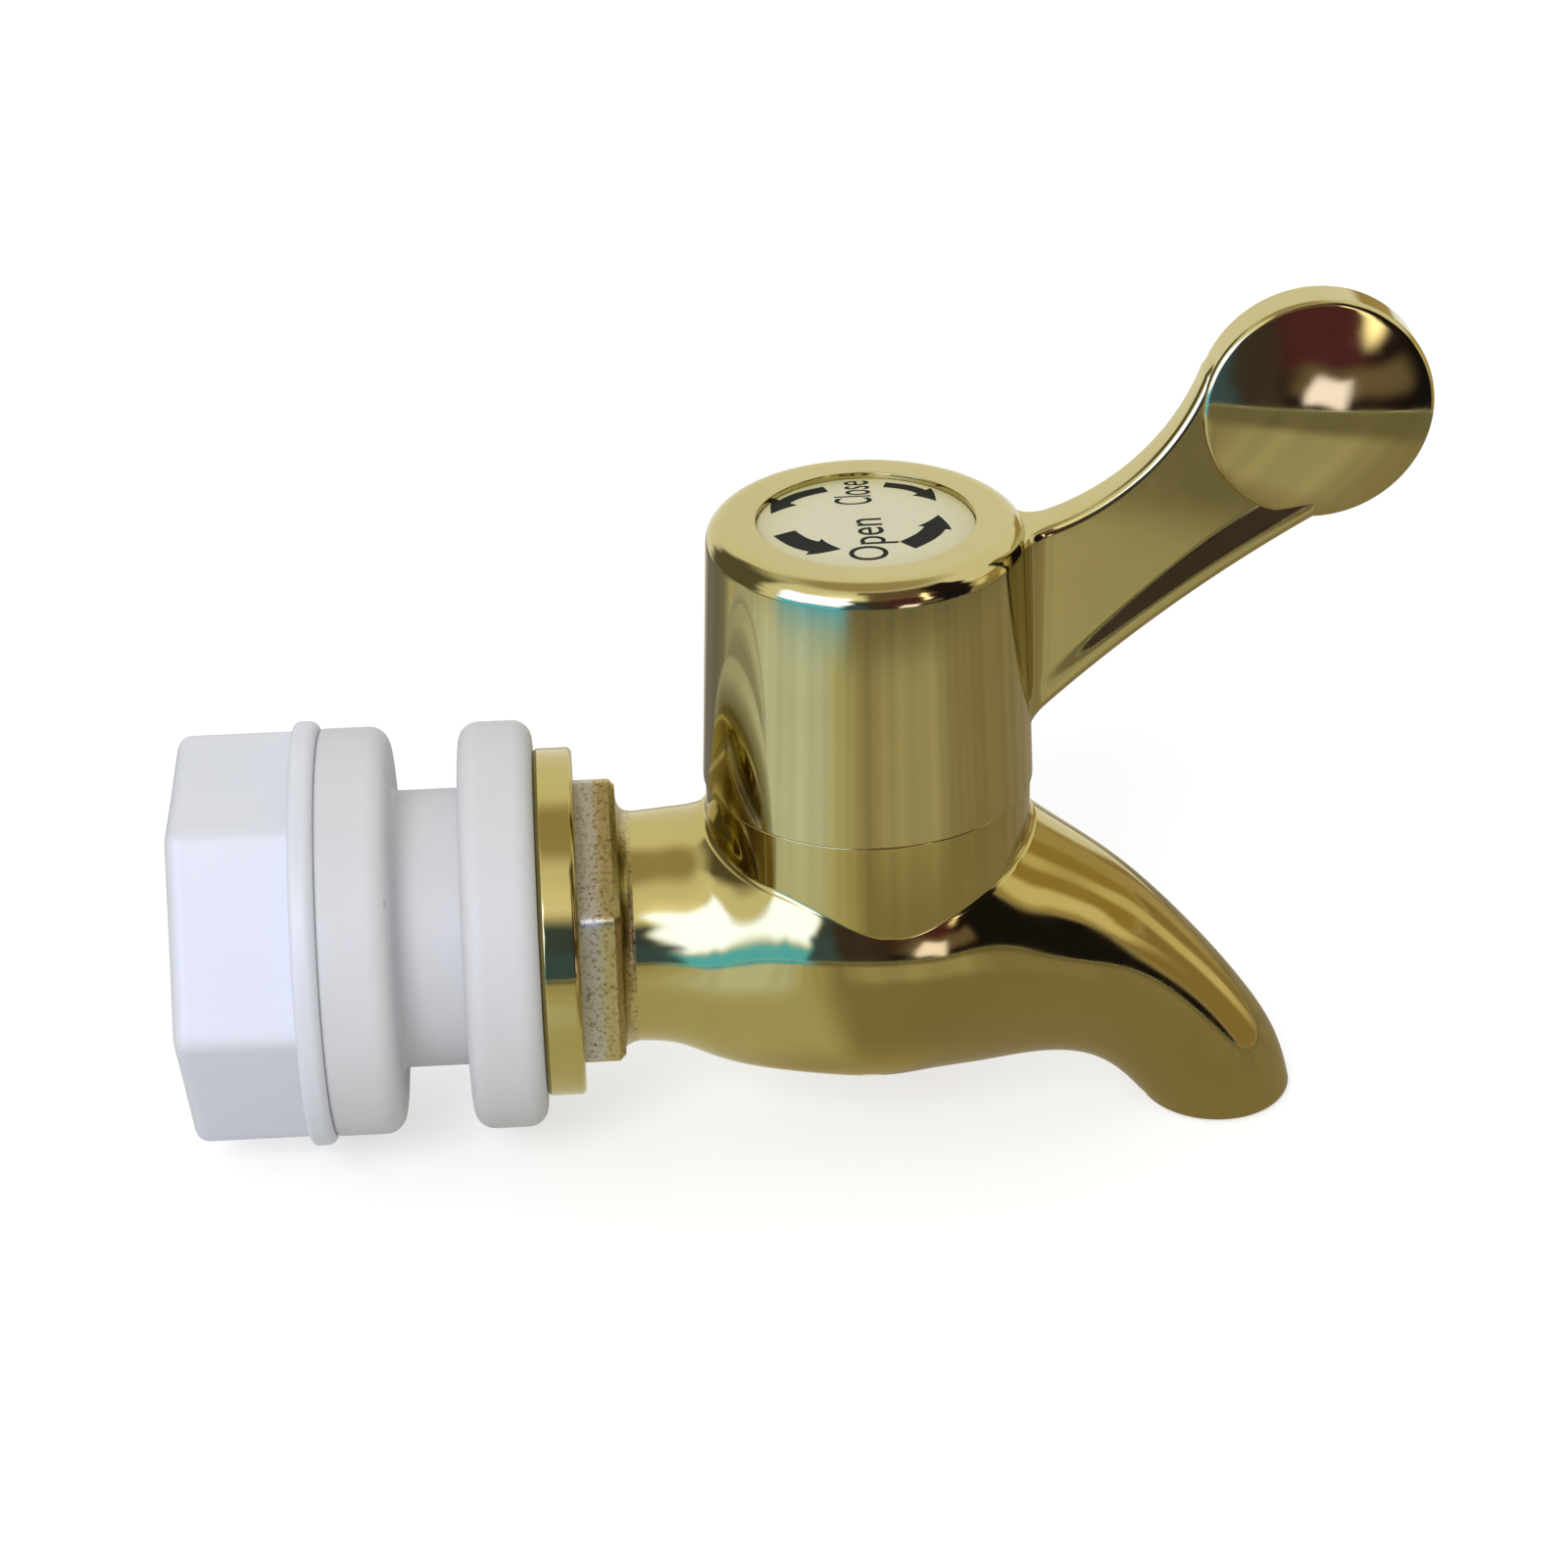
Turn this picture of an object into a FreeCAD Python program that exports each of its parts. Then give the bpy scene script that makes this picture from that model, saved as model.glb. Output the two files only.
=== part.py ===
import FreeCAD, Part
import math
import os
import Sketcher
from FreeCAD import Rotation, Vector

# Water tank tap with a lever handle, in millimetres.
# The shank lies on the X axis, its sealing flange's rear face is at x = 0, the spout points to +X
# and the barrel that carries the handle stands up along +Z.

doc = FreeCAD.newDocument("TankTap")
sheet = doc.addObject("Spreadsheet::Sheet", "Dims")

sizes = {
    # shank, flange and wrench hexagon of the housing, along X
    "shankRadius": 10.4,
    "shankLength": 30.6,
    "shankChamfer": 1.0,
    "inletRadius": 6.6,
    "inletDepth": 18.5,
    "flangeRadius": 15.7,
    "flangeThickness": 3.5,
    "flangeRound": 0.5,
    "hexFlats": 25.1,
    "hexLength": 3.7,
    "hexChamfer": 0.55,
    "neckRadius": 10.55,
    "neckLength": 3.5,
    "neckDrop": 0.85,
    "throatReach": 14.6,
    "throatDrop": 1.5,
    "throatRadius": 11.5,
    # barrel that stands on the belly
    "barrelAxis": 29.8,
    "barrelRadius": 14.35,
    "skirtBottom": 14.4,
    "skirtGap": 0.3,
    "collarRadius": 11.7,
    "collarTop": 24.0,
    "chamberRadius": 8.6,
    "chamberFloor": -1.0,
    "threadRadius": 9.6,
    "threadBottom": 10.0,
    "feedRadius": 4.2,
    "feedDepth": 6.2,
    "feedOverlap": 5.0,
    # belly and spout: place, radius and downward slope of each round section
    "bellyInReach": 8.6,
    "bellyInRadius": 14.4,
    "bellyRadius": 15.35,
    "bellyOutReach": 6.2,
    "bellyOutDrop": 0.7,
    "bellyOutRadius": 14.5,
    "bellyOutSlope": 8.0,
    "rootReach": 12.4,
    "rootDrop": 3.2,
    "rootRadius": 12.1,
    "rootSlope": 16.0,
    "spoutReach": 18.2,
    "spoutDrop": 5.6,
    "spoutRadius": 9.9,
    "spoutSlope": 26.0,
    "bendReach": 23.9,
    "bendDrop": 9.2,
    "bendRadius": 7.9,
    "bendSlope": 40.0,
    "tipReach": 28.8,
    "tipDrop": 14.2,
    "tipRadius": 7.05,
    "tipSlope": 60.0,
    "lipReach": 31.3,
    "lipDrop": 18.0,
    "lipRadius": 7.0,
    "lipSlope": 76.0,
    "outletReach": 32.2,
    "outletDrop": 20.9,
    "outletRadius": 7.0,
    "outletRound": 0.7,
    "outletWall": 1.8,
    "mouthDepth": 3.5,
    "outletDepth": 9.0,
    "outletBore": 4.7,
    "outletLean": 28.0,
    "spoutBore": 4.5,
    # washers and the sleeve that passes through the tank wall
    "washerRadius": 18.36,
    "washerRound": 1.5,
    "outerWasherThickness": 6.6,
    "innerWasherThickness": 6.2,
    "sleeveRadius": 12.5,
    "sleeveLength": 6.2,
    "washerClearance": 0.3,
    # lock nut
    "nutFlats": 32.0,
    "nutLength": 10.6,
    "nutFace": 15.4,
    "nutChamfer": 1.6,
    "beadRadius": 19.1,
    "beadThickness": 2.2,
    "beadRound": 1.0,
    "threadClearance": 0.1,
    # handle: tapered cap, lever and thumb disc
    "capBottomRadius": 14.66,
    "capTopRadius": 13.8,
    "capTop": 38.8,
    "capRound": 2.0,
    "capWall": 2.2,
    "capDraft": 0.4,
    "capDeck": 2.8,
    "recessRadius": 9.5,
    "recessDepth": 0.85,
    "leverThickness": 4.6,
    "leverTop": 37.6,
    "leverTopReach": 13.6,
    "leverNeckReach": 23.3,
    "leverNeckHeight": 42.8,
    "leverHeadReach": 28.8,
    "leverHeadHeight": 51.4,
    "leverLowReach": 14.4,
    "leverLowHeight": 19.6,
    "leverRootDrop": 3.0,
    "leverSagReach": 25.9,
    "leverSagHeight": 29.45,
    "leverHeelReach": 38.8,
    "discReach": 38.5,
    "discHeight": 47.9,
    "discRadius": 10.0,
    "discRim": 4.0,
    "discDome": 1.3,
    "bossRadius": 6.6,
    "socketDepth": 3.9,
    "headPocketRadius": 4.3,
    "headPocketDepth": 1.9,
    "screwHoleRadius": 2.2,
    # index disc
    "indexClearance": 0.12,
    "indexThickness": 0.3,
    # cartridge
    "sealThickness": 1.8,
    "sealRadius": 7.2,
    "portRadius": 5.4,
    "ceramicThickness": 2.6,
    "ceramicClearance": 0.1,
    "ceramicRadius": 7.4,
    "portReach": 3.6,
    "portHole": 2.3,
    "footGap": 1.5,
    "footThickness": 2.4,
    "footRadius": 6.6,
    "tangThickness": 1.2,
    "tangWidth": 3.0,
    "tangInset": 1.0,
    "slotClearance": 0.1,
    "spindleRadius": 4.0,
    "spindleTop": 33.9,
    "runningClearance": 0.05,
    "thrustThickness": 0.6,
    "skirtWall": 0.75,
    "windowWidth": 6.0,
    "windowHeight": 3.2,
    "windowDrop": 0.6,
    "bonnetSeatGap": 0.2,
    "bonnetHeadFlats": 18.6,
    "bonnetHeadHeight": 3.4,
    "bonnetNose": 1.0,
    "noseWall": 1.4,
    "ringSection": 0.75,
    "ringSlack": 0.2,
    "ringClearance": 0.03,
    "lowerRingHeight": 14.5,
    "upperRingHeight": 19.5,
    "bonnetRingRise": 0.9,
    "clipThickness": 0.8,
    "clipRadius": 5.6,
    "clipGroove": 0.7,
    "stopThickness": 1.6,
    "stopRadius": 5.9,
    "stopLug": 9.0,
    "stopWallRadius": 7.0,
    "stopWallHeight": 3.2,
    "stopInset": 0.4,
    "stopHalfAngle": 57.0,
    "lugHalfAngle": 31.0,
    # handle screw
    "screwRadius": 1.95,
    "screwLength": 9.5,
    "tapRunout": 0.8,
    "screwHeadRadius": 3.5,
    "screwHeadHeight": 1.2,
    "screwSlotRadius": 1.5,
    "screwSlotDepth": 0.8,
    "lockWasherThickness": 0.5,
    "lockWasherRadius": 4.0,
}

for row, (alias, value) in enumerate(sizes.items(), start=1):
    sheet.set("A%d" % row, alias)
    sheet.set("B%d" % row, str(value))
    sheet.setAlias("B%d" % row, alias)
doc.recompute()


class Cell:
    """A length or angle known both as a number and as an expression in the sheet's cells."""

    def __init__(self, value, text):
        self.value = value
        self.text = text

    def __add__(self, other):
        other = asCell(other)
        return Cell(self.value + other.value, "(%s + %s)" % (self.text, other.text))

    def __sub__(self, other):
        other = asCell(other)
        return Cell(self.value - other.value, "(%s - %s)" % (self.text, other.text))

    def __mul__(self, other):
        other = asCell(other)
        return Cell(self.value * other.value, "(%s * %s)" % (self.text, other.text))

    def __truediv__(self, other):
        other = asCell(other)
        return Cell(self.value / other.value, "(%s / %s)" % (self.text, other.text))

    def __radd__(self, other):
        return asCell(other) + self

    def __rsub__(self, other):
        return asCell(other) - self

    def __rmul__(self, other):
        return asCell(other) * self

    def __neg__(self):
        return asCell(0) - self


def asCell(value):
    return value if isinstance(value, Cell) else Cell(float(value), "(%.9g)" % value)


def sine(angle):
    angle = asCell(angle)
    return Cell(math.sin(math.radians(angle.value)), "sin(%s * 1deg)" % angle.text)


def cosine(angle):
    angle = asCell(angle)
    return Cell(math.cos(math.radians(angle.value)), "cos(%s * 1deg)" % angle.text)


class Dims:
    """Every size of the sheet as a Cell, by its alias."""


d = Dims()
for alias in sizes:
    setattr(d, alias, Cell(float(sheet.get(alias)), "Dims." + alias))


samePlace = 0.01  # edges this close to a named place are the ones meant
overrun = 1  # how far a cut reaches outside the solid that it cuts
sunk = 0.2  # how far a pad reaches into the solid that it joins


def bind(thing, prop, value):
    thing.setExpression(prop, asCell(value).text)


def newBody(label):
    body = doc.addObject("PartDesign::Body", label)
    body.Label = label
    return body


def newSketch(body, plane, x=0, y=0, z=0, turn=None, about=Vector(0, 0, 1)):
    # sketch on an origin plane, moved by x, y, z in that plane's own axes and turned about one of them
    sketch = body.newObject("Sketcher::SketchObject", "Sketch")
    role = [item for item in body.Origin.OriginFeatures if item.Role == plane + "_Plane"]
    sketch.AttachmentSupport = [(role[0], "")]
    sketch.MapMode = "FlatFace"
    if turn is not None:
        sketch.AttachmentOffset = FreeCAD.Placement(Vector(), Rotation(about, asCell(turn).value))
        bind(sketch, ".AttachmentOffset.Rotation.Angle", turn)
    for axis, value in (("x", x), ("y", y), ("z", z)):
        bind(sketch, ".AttachmentOffset.Base." + axis, value)
    return sketch


def placePoint(sketch, line, end, point):
    for kind, value in zip(("DistanceX", "DistanceY"), point):
        value = asCell(value)
        index = sketch.addConstraint(Sketcher.Constraint(kind, -1, 1, line, end, value.value))
        bind(sketch, "Constraints[%d]" % index, value)


def outline(sketch, points):
    # closed outline through the points; a point (x, y, midX, midY) is reached by an arc through the mid one
    flat = [Vector(asCell(p[0]).value, asCell(p[1]).value, 0) for p in points]
    count = len(points)
    ends = []
    for i in range(count):
        start = flat[i]
        stop = flat[(i + 1) % count]
        target = points[(i + 1) % count]
        if len(target) == 2:
            line = sketch.addGeometry(Part.LineSegment(start, stop))
            ends.append((line, 1, 2))
            continue
        mid = Vector(asCell(target[2]).value, asCell(target[3]).value, 0)
        line = sketch.addGeometry(Part.Arc(start, mid, stop))
        forward = (sketch.getPoint(line, 1) - start).Length < (sketch.getPoint(line, 2) - start).Length
        ends.append((line, 1, 2) if forward else (line, 2, 1))
        mark = sketch.addGeometry(Part.Point(mid), True)
        placePoint(sketch, mark, 1, target[2:])
        sketch.addConstraint(Sketcher.Constraint("PointOnObject", mark, 1, line))
    for i in range(count):
        line, first, last = ends[i]
        after, afterFirst, afterLast = ends[(i + 1) % count]
        sketch.addConstraint(Sketcher.Constraint("Coincident", line, last, after, afterFirst))
        placePoint(sketch, line, first, points[i][:2])
    return sketch


def disk(sketch, radius, x=0, y=0):
    # circle bound to its radius and centre
    centre = Vector(asCell(x).value, asCell(y).value, 0)
    index = sketch.addGeometry(Part.Circle(centre, Vector(0, 0, 1), asCell(radius).value))
    size = sketch.addConstraint(Sketcher.Constraint("Radius", index, asCell(radius).value))
    bind(sketch, "Constraints[%d]" % size, radius)
    placePoint(sketch, index, 3, (x, y))
    return sketch


def turned(body, kind, axis, points, x=0, z=0, lean=None):
    # Revolution or Groove of a closed outline about the X or Z direction; points are (along, radius)
    sketch = newSketch(body, "XZ", x=x, y=z, turn=lean)
    if axis == "X":
        outline(sketch, points)
    else:
        outline(sketch, [(radius, along) for along, radius in points])
    feature = body.newObject("PartDesign::" + kind, kind)
    feature.Profile = sketch
    feature.ReferenceAxis = (sketch, ["H_Axis" if axis == "X" else "V_Axis"])
    feature.Angle = 360
    body.Tip = feature
    return feature


def ring(low, high, inner, outer):
    # rectangular outline of a ring between two heights
    return [(low, inner), (high, inner), (high, outer), (low, outer)]


def pushed(body, kind, sketch, length, midplane=False, reverse=False):
    # Pad or Pocket of a sketch
    feature = body.newObject("PartDesign::" + kind, kind)
    feature.Profile = sketch
    bind(feature, "Length", length)
    feature.Midplane = midplane
    feature.Reversed = reverse
    body.Tip = feature
    return feature


def hexagon(sketch, flats):
    # regular hexagon with a corner on the sketch's vertical axis
    corner = flats / (2 * cosine(30))
    return outline(sketch, [(corner * sine(60 * i), corner * cosine(60 * i)) for i in range(6)])


def flatHexagon(sketch, flats):
    # regular hexagon with a flat across the sketch's vertical axis
    corner = flats / (2 * cosine(30))
    return outline(sketch, [(corner * cosine(60 * i), corner * sine(60 * i)) for i in range(6)])


def rectangle(sketch, halfLength, halfWidth):
    return outline(sketch, [
        (-halfLength, -halfWidth), (halfLength, -halfWidth),
        (halfLength, halfWidth), (-halfLength, halfWidth)])


def softened(body, radius, picks):
    # rounds the circular edges given as (axis, place along it, radius)
    doc.recompute()
    base = body.Tip
    names = []
    for number, edge in enumerate(base.Shape.Edges, start=1):
        curve = edge.Curve
        if not isinstance(curve, Part.Circle):
            continue
        for axis, along, edgeRadius in picks:
            place = getattr(curve.Center, axis)
            apart = max(abs(place - asCell(along).value), abs(curve.Radius - asCell(edgeRadius).value))
            if apart < samePlace and abs(getattr(curve.Axis, axis)) > 0.99:
                names.append("Edge%d" % number)
    feature = body.newObject("PartDesign::Fillet", "Fillet")
    feature.Base = (base, names)
    bind(feature, "Radius", radius)
    body.Tip = feature
    return feature


def rimmed(body, radius, height):
    # rounds every edge that lies in the horizontal plane at this height
    doc.recompute()
    base = body.Tip
    names = []
    for number, edge in enumerate(base.Shape.Edges, start=1):
        points = [vertex.Point for vertex in edge.Vertexes]
        points.append(edge.valueAt((edge.FirstParameter + edge.LastParameter) / 2))
        if all(abs(point.z - height.value) < samePlace for point in points):
            names.append("Edge%d" % number)
    feature = body.newObject("PartDesign::Fillet", "Fillet")
    feature.Base = (base, names)
    bind(feature, "Radius", radius)
    body.Tip = feature
    return feature


# places that several pieces share
axisX = d.barrelAxis
flangeFront = d.flangeThickness
hexFront = d.flangeThickness + d.hexLength
sleeveRear = -d.outerWasherThickness - d.sleeveLength
innerWasherRear = sleeveRear - d.innerWasherThickness
nutRear = innerWasherRear - d.beadThickness - d.nutLength
housingTop = d.skirtBottom - d.skirtGap
deckBottom = d.capTop - d.recessDepth - d.capDeck
recessFloor = d.capTop - d.recessDepth
pocketFloor = recessFloor - d.headPocketDepth
screwSeat = pocketFloor + d.lockWasherThickness
sealTop = d.chamberFloor + d.sealThickness
fixedTop = sealTop + d.ceramicThickness
movingTop = fixedTop + d.ceramicThickness
footBottom = movingTop + d.footGap
footTop = footBottom + d.footThickness
shoulder = footTop + d.thrustThickness + d.runningClearance
bonnetTop = d.collarTop + d.bonnetHeadHeight
bonnetNoseTop = bonnetTop + d.bonnetNose
stopWallTop = bonnetTop + d.stopWallHeight
clipBottom = bonnetNoseTop + d.runningClearance
clipTop = clipBottom + d.clipThickness
boreRadius = d.spindleRadius + d.runningClearance
innerCap = d.capTopRadius - d.capWall
tangHalfLength = d.footRadius - d.tangInset
bonnetRingHeight = d.threadBottom + d.bonnetRingRise + d.ringSection + d.ringSlack


def makeHousing():
    # one moulding: shank, flange, hexagon, belly, barrel and spout
    body = newBody("housing")
    turned(body, "Revolution", "X", [
        (-d.shankLength, 0), (-d.shankLength, d.shankRadius - d.shankChamfer),
        (-d.shankLength + d.shankChamfer, d.shankRadius), (0, d.shankRadius), (0, d.flangeRadius),
        (flangeFront, d.flangeRadius), (flangeFront, 0)])
    softened(body, d.flangeRound, [("x", 0, d.flangeRadius), ("x", flangeFront, d.flangeRadius)])
    pushed(body, "Pad", hexagon(newSketch(body, "YZ", z=flangeFront), d.hexFlats), d.hexLength)
    corner = d.hexFlats / (2 * cosine(30))
    turned(body, "Groove", "X", [
        (hexFront, corner - 3 * d.hexChamfer), (hexFront, corner + overrun),
        (hexFront - d.hexChamfer, corner + overrun), (hexFront - d.hexChamfer, corner)])
    sections = [
        (flangeFront, -d.neckDrop, d.neckRadius, 0),
        (hexFront + d.neckLength, -d.neckDrop, d.neckRadius, 0),
        (axisX - d.throatReach, -d.throatDrop, d.throatRadius, 0),
        (axisX - d.bellyInReach, 0, d.bellyInRadius, 0),
        (axisX, 0, d.bellyRadius, 0),
        (axisX + d.bellyOutReach, -d.bellyOutDrop, d.bellyOutRadius, d.bellyOutSlope),
        (axisX + d.rootReach, -d.rootDrop, d.rootRadius, d.rootSlope),
        (axisX + d.spoutReach, -d.spoutDrop, d.spoutRadius, d.spoutSlope),
        (axisX + d.bendReach, -d.bendDrop, d.bendRadius, d.bendSlope),
        (axisX + d.tipReach, -d.tipDrop, d.tipRadius, d.tipSlope),
        (axisX + d.lipReach, -d.lipDrop, d.lipRadius, d.lipSlope),
        (axisX + d.outletReach, -d.outletDrop, d.outletRadius, 90)]
    rings = []
    for along, height, radius, slope in sections:
        sketch = newSketch(body, "YZ", y=height, z=along, turn=slope, about=Vector(1, 0, 0))
        rings.append(disk(sketch, radius))
    loft = body.newObject("PartDesign::AdditiveLoft", "Loft")
    loft.Profile = rings[0]
    loft.Sections = rings[1:]
    body.Tip = loft
    rimmed(body, d.outletRound, -d.outletDrop)
    turned(body, "Revolution", "Z", ring(0, housingTop, 0, d.barrelRadius), x=axisX)
    turned(body, "Revolution", "Z", ring(housingTop - sunk, d.collarTop, 0, d.collarRadius), x=axisX)
    # waterways: inlet, feed under the seat, stepped chamber, spout and outlet
    feedStart = d.inletDepth - d.feedOverlap
    turned(body, "Groove", "X", ring(-d.shankLength, d.inletDepth, 0, d.inletRadius))
    turned(body, "Groove", "X", ring(feedStart, axisX, 0, d.feedRadius), z=-d.feedDepth)
    turned(body, "Groove", "Z", [
        (-d.feedDepth, 0), (-d.feedDepth, d.feedRadius),
        (d.chamberFloor, d.feedRadius), (d.chamberFloor, d.chamberRadius),
        (d.threadBottom, d.chamberRadius), (d.threadBottom, d.threadRadius),
        (d.collarTop, d.threadRadius), (d.collarTop, 0)], x=axisX)
    outletX = axisX + d.outletReach
    innerX = outletX - d.outletDepth * sine(d.outletLean)
    outletZ = -d.outletDrop
    innerZ = outletZ + d.outletDepth * cosine(d.outletLean)
    mouth = ring(-overrun, d.mouthDepth, 0, d.outletRadius - d.outletWall)
    turned(body, "Groove", "Z", mouth, x=outletX, z=outletZ)
    bend = ring(d.outletWall, d.outletDepth, 0, d.outletBore)
    turned(body, "Groove", "Z", bend, x=outletX, z=outletZ, lean=d.outletLean)
    # the spout's long bore runs from the outlet's upper end to the chamber's wall
    doc.recompute()
    run = Vector(innerX.value - axisX.value - d.chamberRadius.value, 0, innerZ.value - sealTop.value)
    lean = math.degrees(math.atan2(run.x, -run.z))
    reach = run.Length + d.spoutBore.value
    turned(body, "Groove", "Z", ring(-overrun, reach, 0, d.spoutBore), x=innerX, z=innerZ, lean=lean)
    return body


def makeOuterWasher():
    # flat silicone ring between the flange and the tank wall
    body = newBody("outer_washer")
    hole = d.shankRadius + d.washerClearance
    turned(body, "Revolution", "X", ring(-d.outerWasherThickness, 0, hole, d.washerRadius))
    rims = [("x", place, d.washerRadius) for place in (-d.outerWasherThickness, 0)]
    softened(body, d.washerRound, rims)
    return body


def makeInnerWasher():
    # silicone ring with the sleeve that fills the hole in the tank wall
    body = newBody("inner_washer")
    hole = d.shankRadius + d.washerClearance
    turned(body, "Revolution", "X", [
        (innerWasherRear, hole), (-d.outerWasherThickness, hole), (-d.outerWasherThickness, d.sleeveRadius),
        (sleeveRear, d.sleeveRadius), (sleeveRear, d.washerRadius), (innerWasherRear, d.washerRadius)])
    rims = [("x", place, d.washerRadius) for place in (innerWasherRear, sleeveRear)]
    softened(body, d.washerRound, rims)
    return body


def makeLockNut():
    # hexagon with a chamfered rear end and a round bead that bears on the washer
    body = newBody("lock_nut")
    beadRear = innerWasherRear - d.beadThickness
    turned(body, "Revolution", "X", ring(beadRear, innerWasherRear, 0, d.beadRadius))
    softened(body, d.beadRound, [("x", beadRear, d.beadRadius), ("x", innerWasherRear, d.beadRadius)])
    pushed(body, "Pad", flatHexagon(newSketch(body, "YZ", z=nutRear), d.nutFlats), d.nutLength + sunk)
    corner = d.nutFlats / (2 * cosine(30)) + overrun
    start = nutRear - overrun
    turned(body, "Groove", "X", [
        (start, d.nutFace), (nutRear, d.nutFace), (nutRear + d.nutChamfer, corner), (start, corner)])
    hole = d.shankRadius + d.threadClearance
    turned(body, "Groove", "X", ring(start, innerWasherRear + overrun, 0, hole))
    return body


def makeHandle():
    # one moulding: tapered cap over the barrel, lever and thumb disc
    body = newBody("handle")
    body.setExpression(".Placement.Base.x", axisX.text)
    turned(body, "Revolution", "Z", [
        (d.skirtBottom, 0), (d.skirtBottom, d.capBottomRadius), (d.capTop, d.capTopRadius), (d.capTop, 0)])
    softened(body, d.capRound, [("z", d.capTop, d.capTopRadius)])
    rootX = innerCap - overrun
    lever = outline(newSketch(body, "XZ"), [
        (rootX, d.leverTop), (d.leverTopReach, d.leverTop),
        (d.leverHeadReach, d.leverHeadHeight, d.leverNeckReach, d.leverNeckHeight),
        (d.discReach, d.discHeight), (d.leverHeelReach, d.discHeight - d.discRadius + sunk),
        (d.leverLowReach, d.leverLowHeight, d.leverSagReach, d.leverSagHeight),
        (rootX, d.leverLowHeight - d.leverRootDrop)])
    pushed(body, "Pad", lever, d.leverThickness, midplane=True)
    # the thumb disc is a short drum turned about the Y direction; a shallow dome has three quarters of its
    # rise at half its radius
    half = d.discRim / 2
    face = half + d.discDome
    midReach = d.discRadius / 2
    midFace = half + d.discDome * 3 / 4
    domed = outline(newSketch(body, "XY", x=d.discReach, z=d.discHeight), [
        (0, -face), (d.discRadius, -half, midReach, -midFace), (d.discRadius, half),
        (0, face, midReach, midFace)])
    drum = body.newObject("PartDesign::Revolution", "Revolution")
    drum.Profile = domed
    drum.ReferenceAxis = (domed, ["V_Axis"])
    drum.Angle = 360
    body.Tip = drum
    # hollow cap with a boss for the spindle, and the stepped hole under the index disc
    bossBottom = deckBottom - d.socketDepth
    start = d.skirtBottom - overrun
    turned(body, "Groove", "Z", [
        (start, 0), (start, innerCap + d.capDraft), (deckBottom, innerCap), (deckBottom, d.bossRadius),
        (bossBottom, d.bossRadius), (bossBottom, 0)])
    socketStart = bossBottom - overrun
    socketEnd = d.spindleTop + d.runningClearance
    above = d.capTop + overrun
    turned(body, "Groove", "Z", [
        (socketStart, 0), (socketStart, boreRadius),
        (socketEnd, boreRadius), (socketEnd, d.screwHoleRadius),
        (pocketFloor, d.screwHoleRadius), (pocketFloor, d.headPocketRadius),
        (recessFloor, d.headPocketRadius), (recessFloor, d.recessRadius),
        (above, d.recessRadius), (above, 0)])
    return body


def makeIndexDisc():
    body = newBody("index_disc")
    body.setExpression(".Placement.Base.x", axisX.text)
    rim = d.recessRadius - d.indexClearance
    turned(body, "Revolution", "Z", ring(recessFloor, recessFloor + d.indexThickness, 0, rim))
    return body


def makeHandleScrew():
    # cheese head screw from the head pocket into the spindle
    body = newBody("handle_screw")
    body.setExpression(".Placement.Base.x", axisX.text)
    tip = screwSeat - d.screwLength
    headTop = screwSeat + d.screwHeadHeight
    slotFloor = headTop - d.screwSlotDepth
    turned(body, "Revolution", "Z", [
        (tip, 0), (tip, d.screwRadius), (screwSeat, d.screwRadius), (screwSeat, d.screwHeadRadius),
        (headTop, d.screwHeadRadius), (headTop, d.screwSlotRadius), (slotFloor, d.screwSlotRadius),
        (slotFloor, 0)])
    return body


def makeLockWasher():
    body = newBody("lock_washer")
    body.setExpression(".Placement.Base.x", axisX.text)
    turned(body, "Revolution", "Z", ring(pocketFloor, screwSeat, d.screwHoleRadius, d.lockWasherRadius))
    return body


def grooveRing(height, radius):
    # outline of a seal ring's groove, cut inward from a round wall
    half = d.ringSection + d.ringSlack
    return ring(height - half, height + half, radius - 2 * d.ringSection, radius + overrun)


def makeSpindle():
    # stem with a driving foot and tang below, a clip groove and a tapped hole above
    body = newBody("spindle")
    body.setExpression(".Placement.Base.x", axisX.text)
    turned(body, "Revolution", "Z", [
        (footBottom, 0), (footBottom, d.footRadius), (footTop, d.footRadius), (footTop, d.spindleRadius),
        (d.spindleTop, d.spindleRadius), (d.spindleTop, 0)])
    tang = rectangle(newSketch(body, "XY", z=movingTop - d.tangThickness), tangHalfLength, d.tangWidth / 2)
    pushed(body, "Pad", tang, d.tangThickness + d.footGap + sunk)
    for height in (d.lowerRingHeight, d.upperRingHeight):
        turned(body, "Groove", "Z", grooveRing(height, d.spindleRadius))
    clipSeat = d.spindleRadius - d.clipGroove
    turned(body, "Groove", "Z", ring(clipBottom, clipTop, clipSeat, d.spindleRadius + overrun))
    tapped = d.screwRadius + d.runningClearance
    tapBottom = screwSeat - d.screwLength - d.tapRunout
    turned(body, "Groove", "Z", ring(tapBottom, d.spindleTop + overrun, 0, tapped))
    return body


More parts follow.
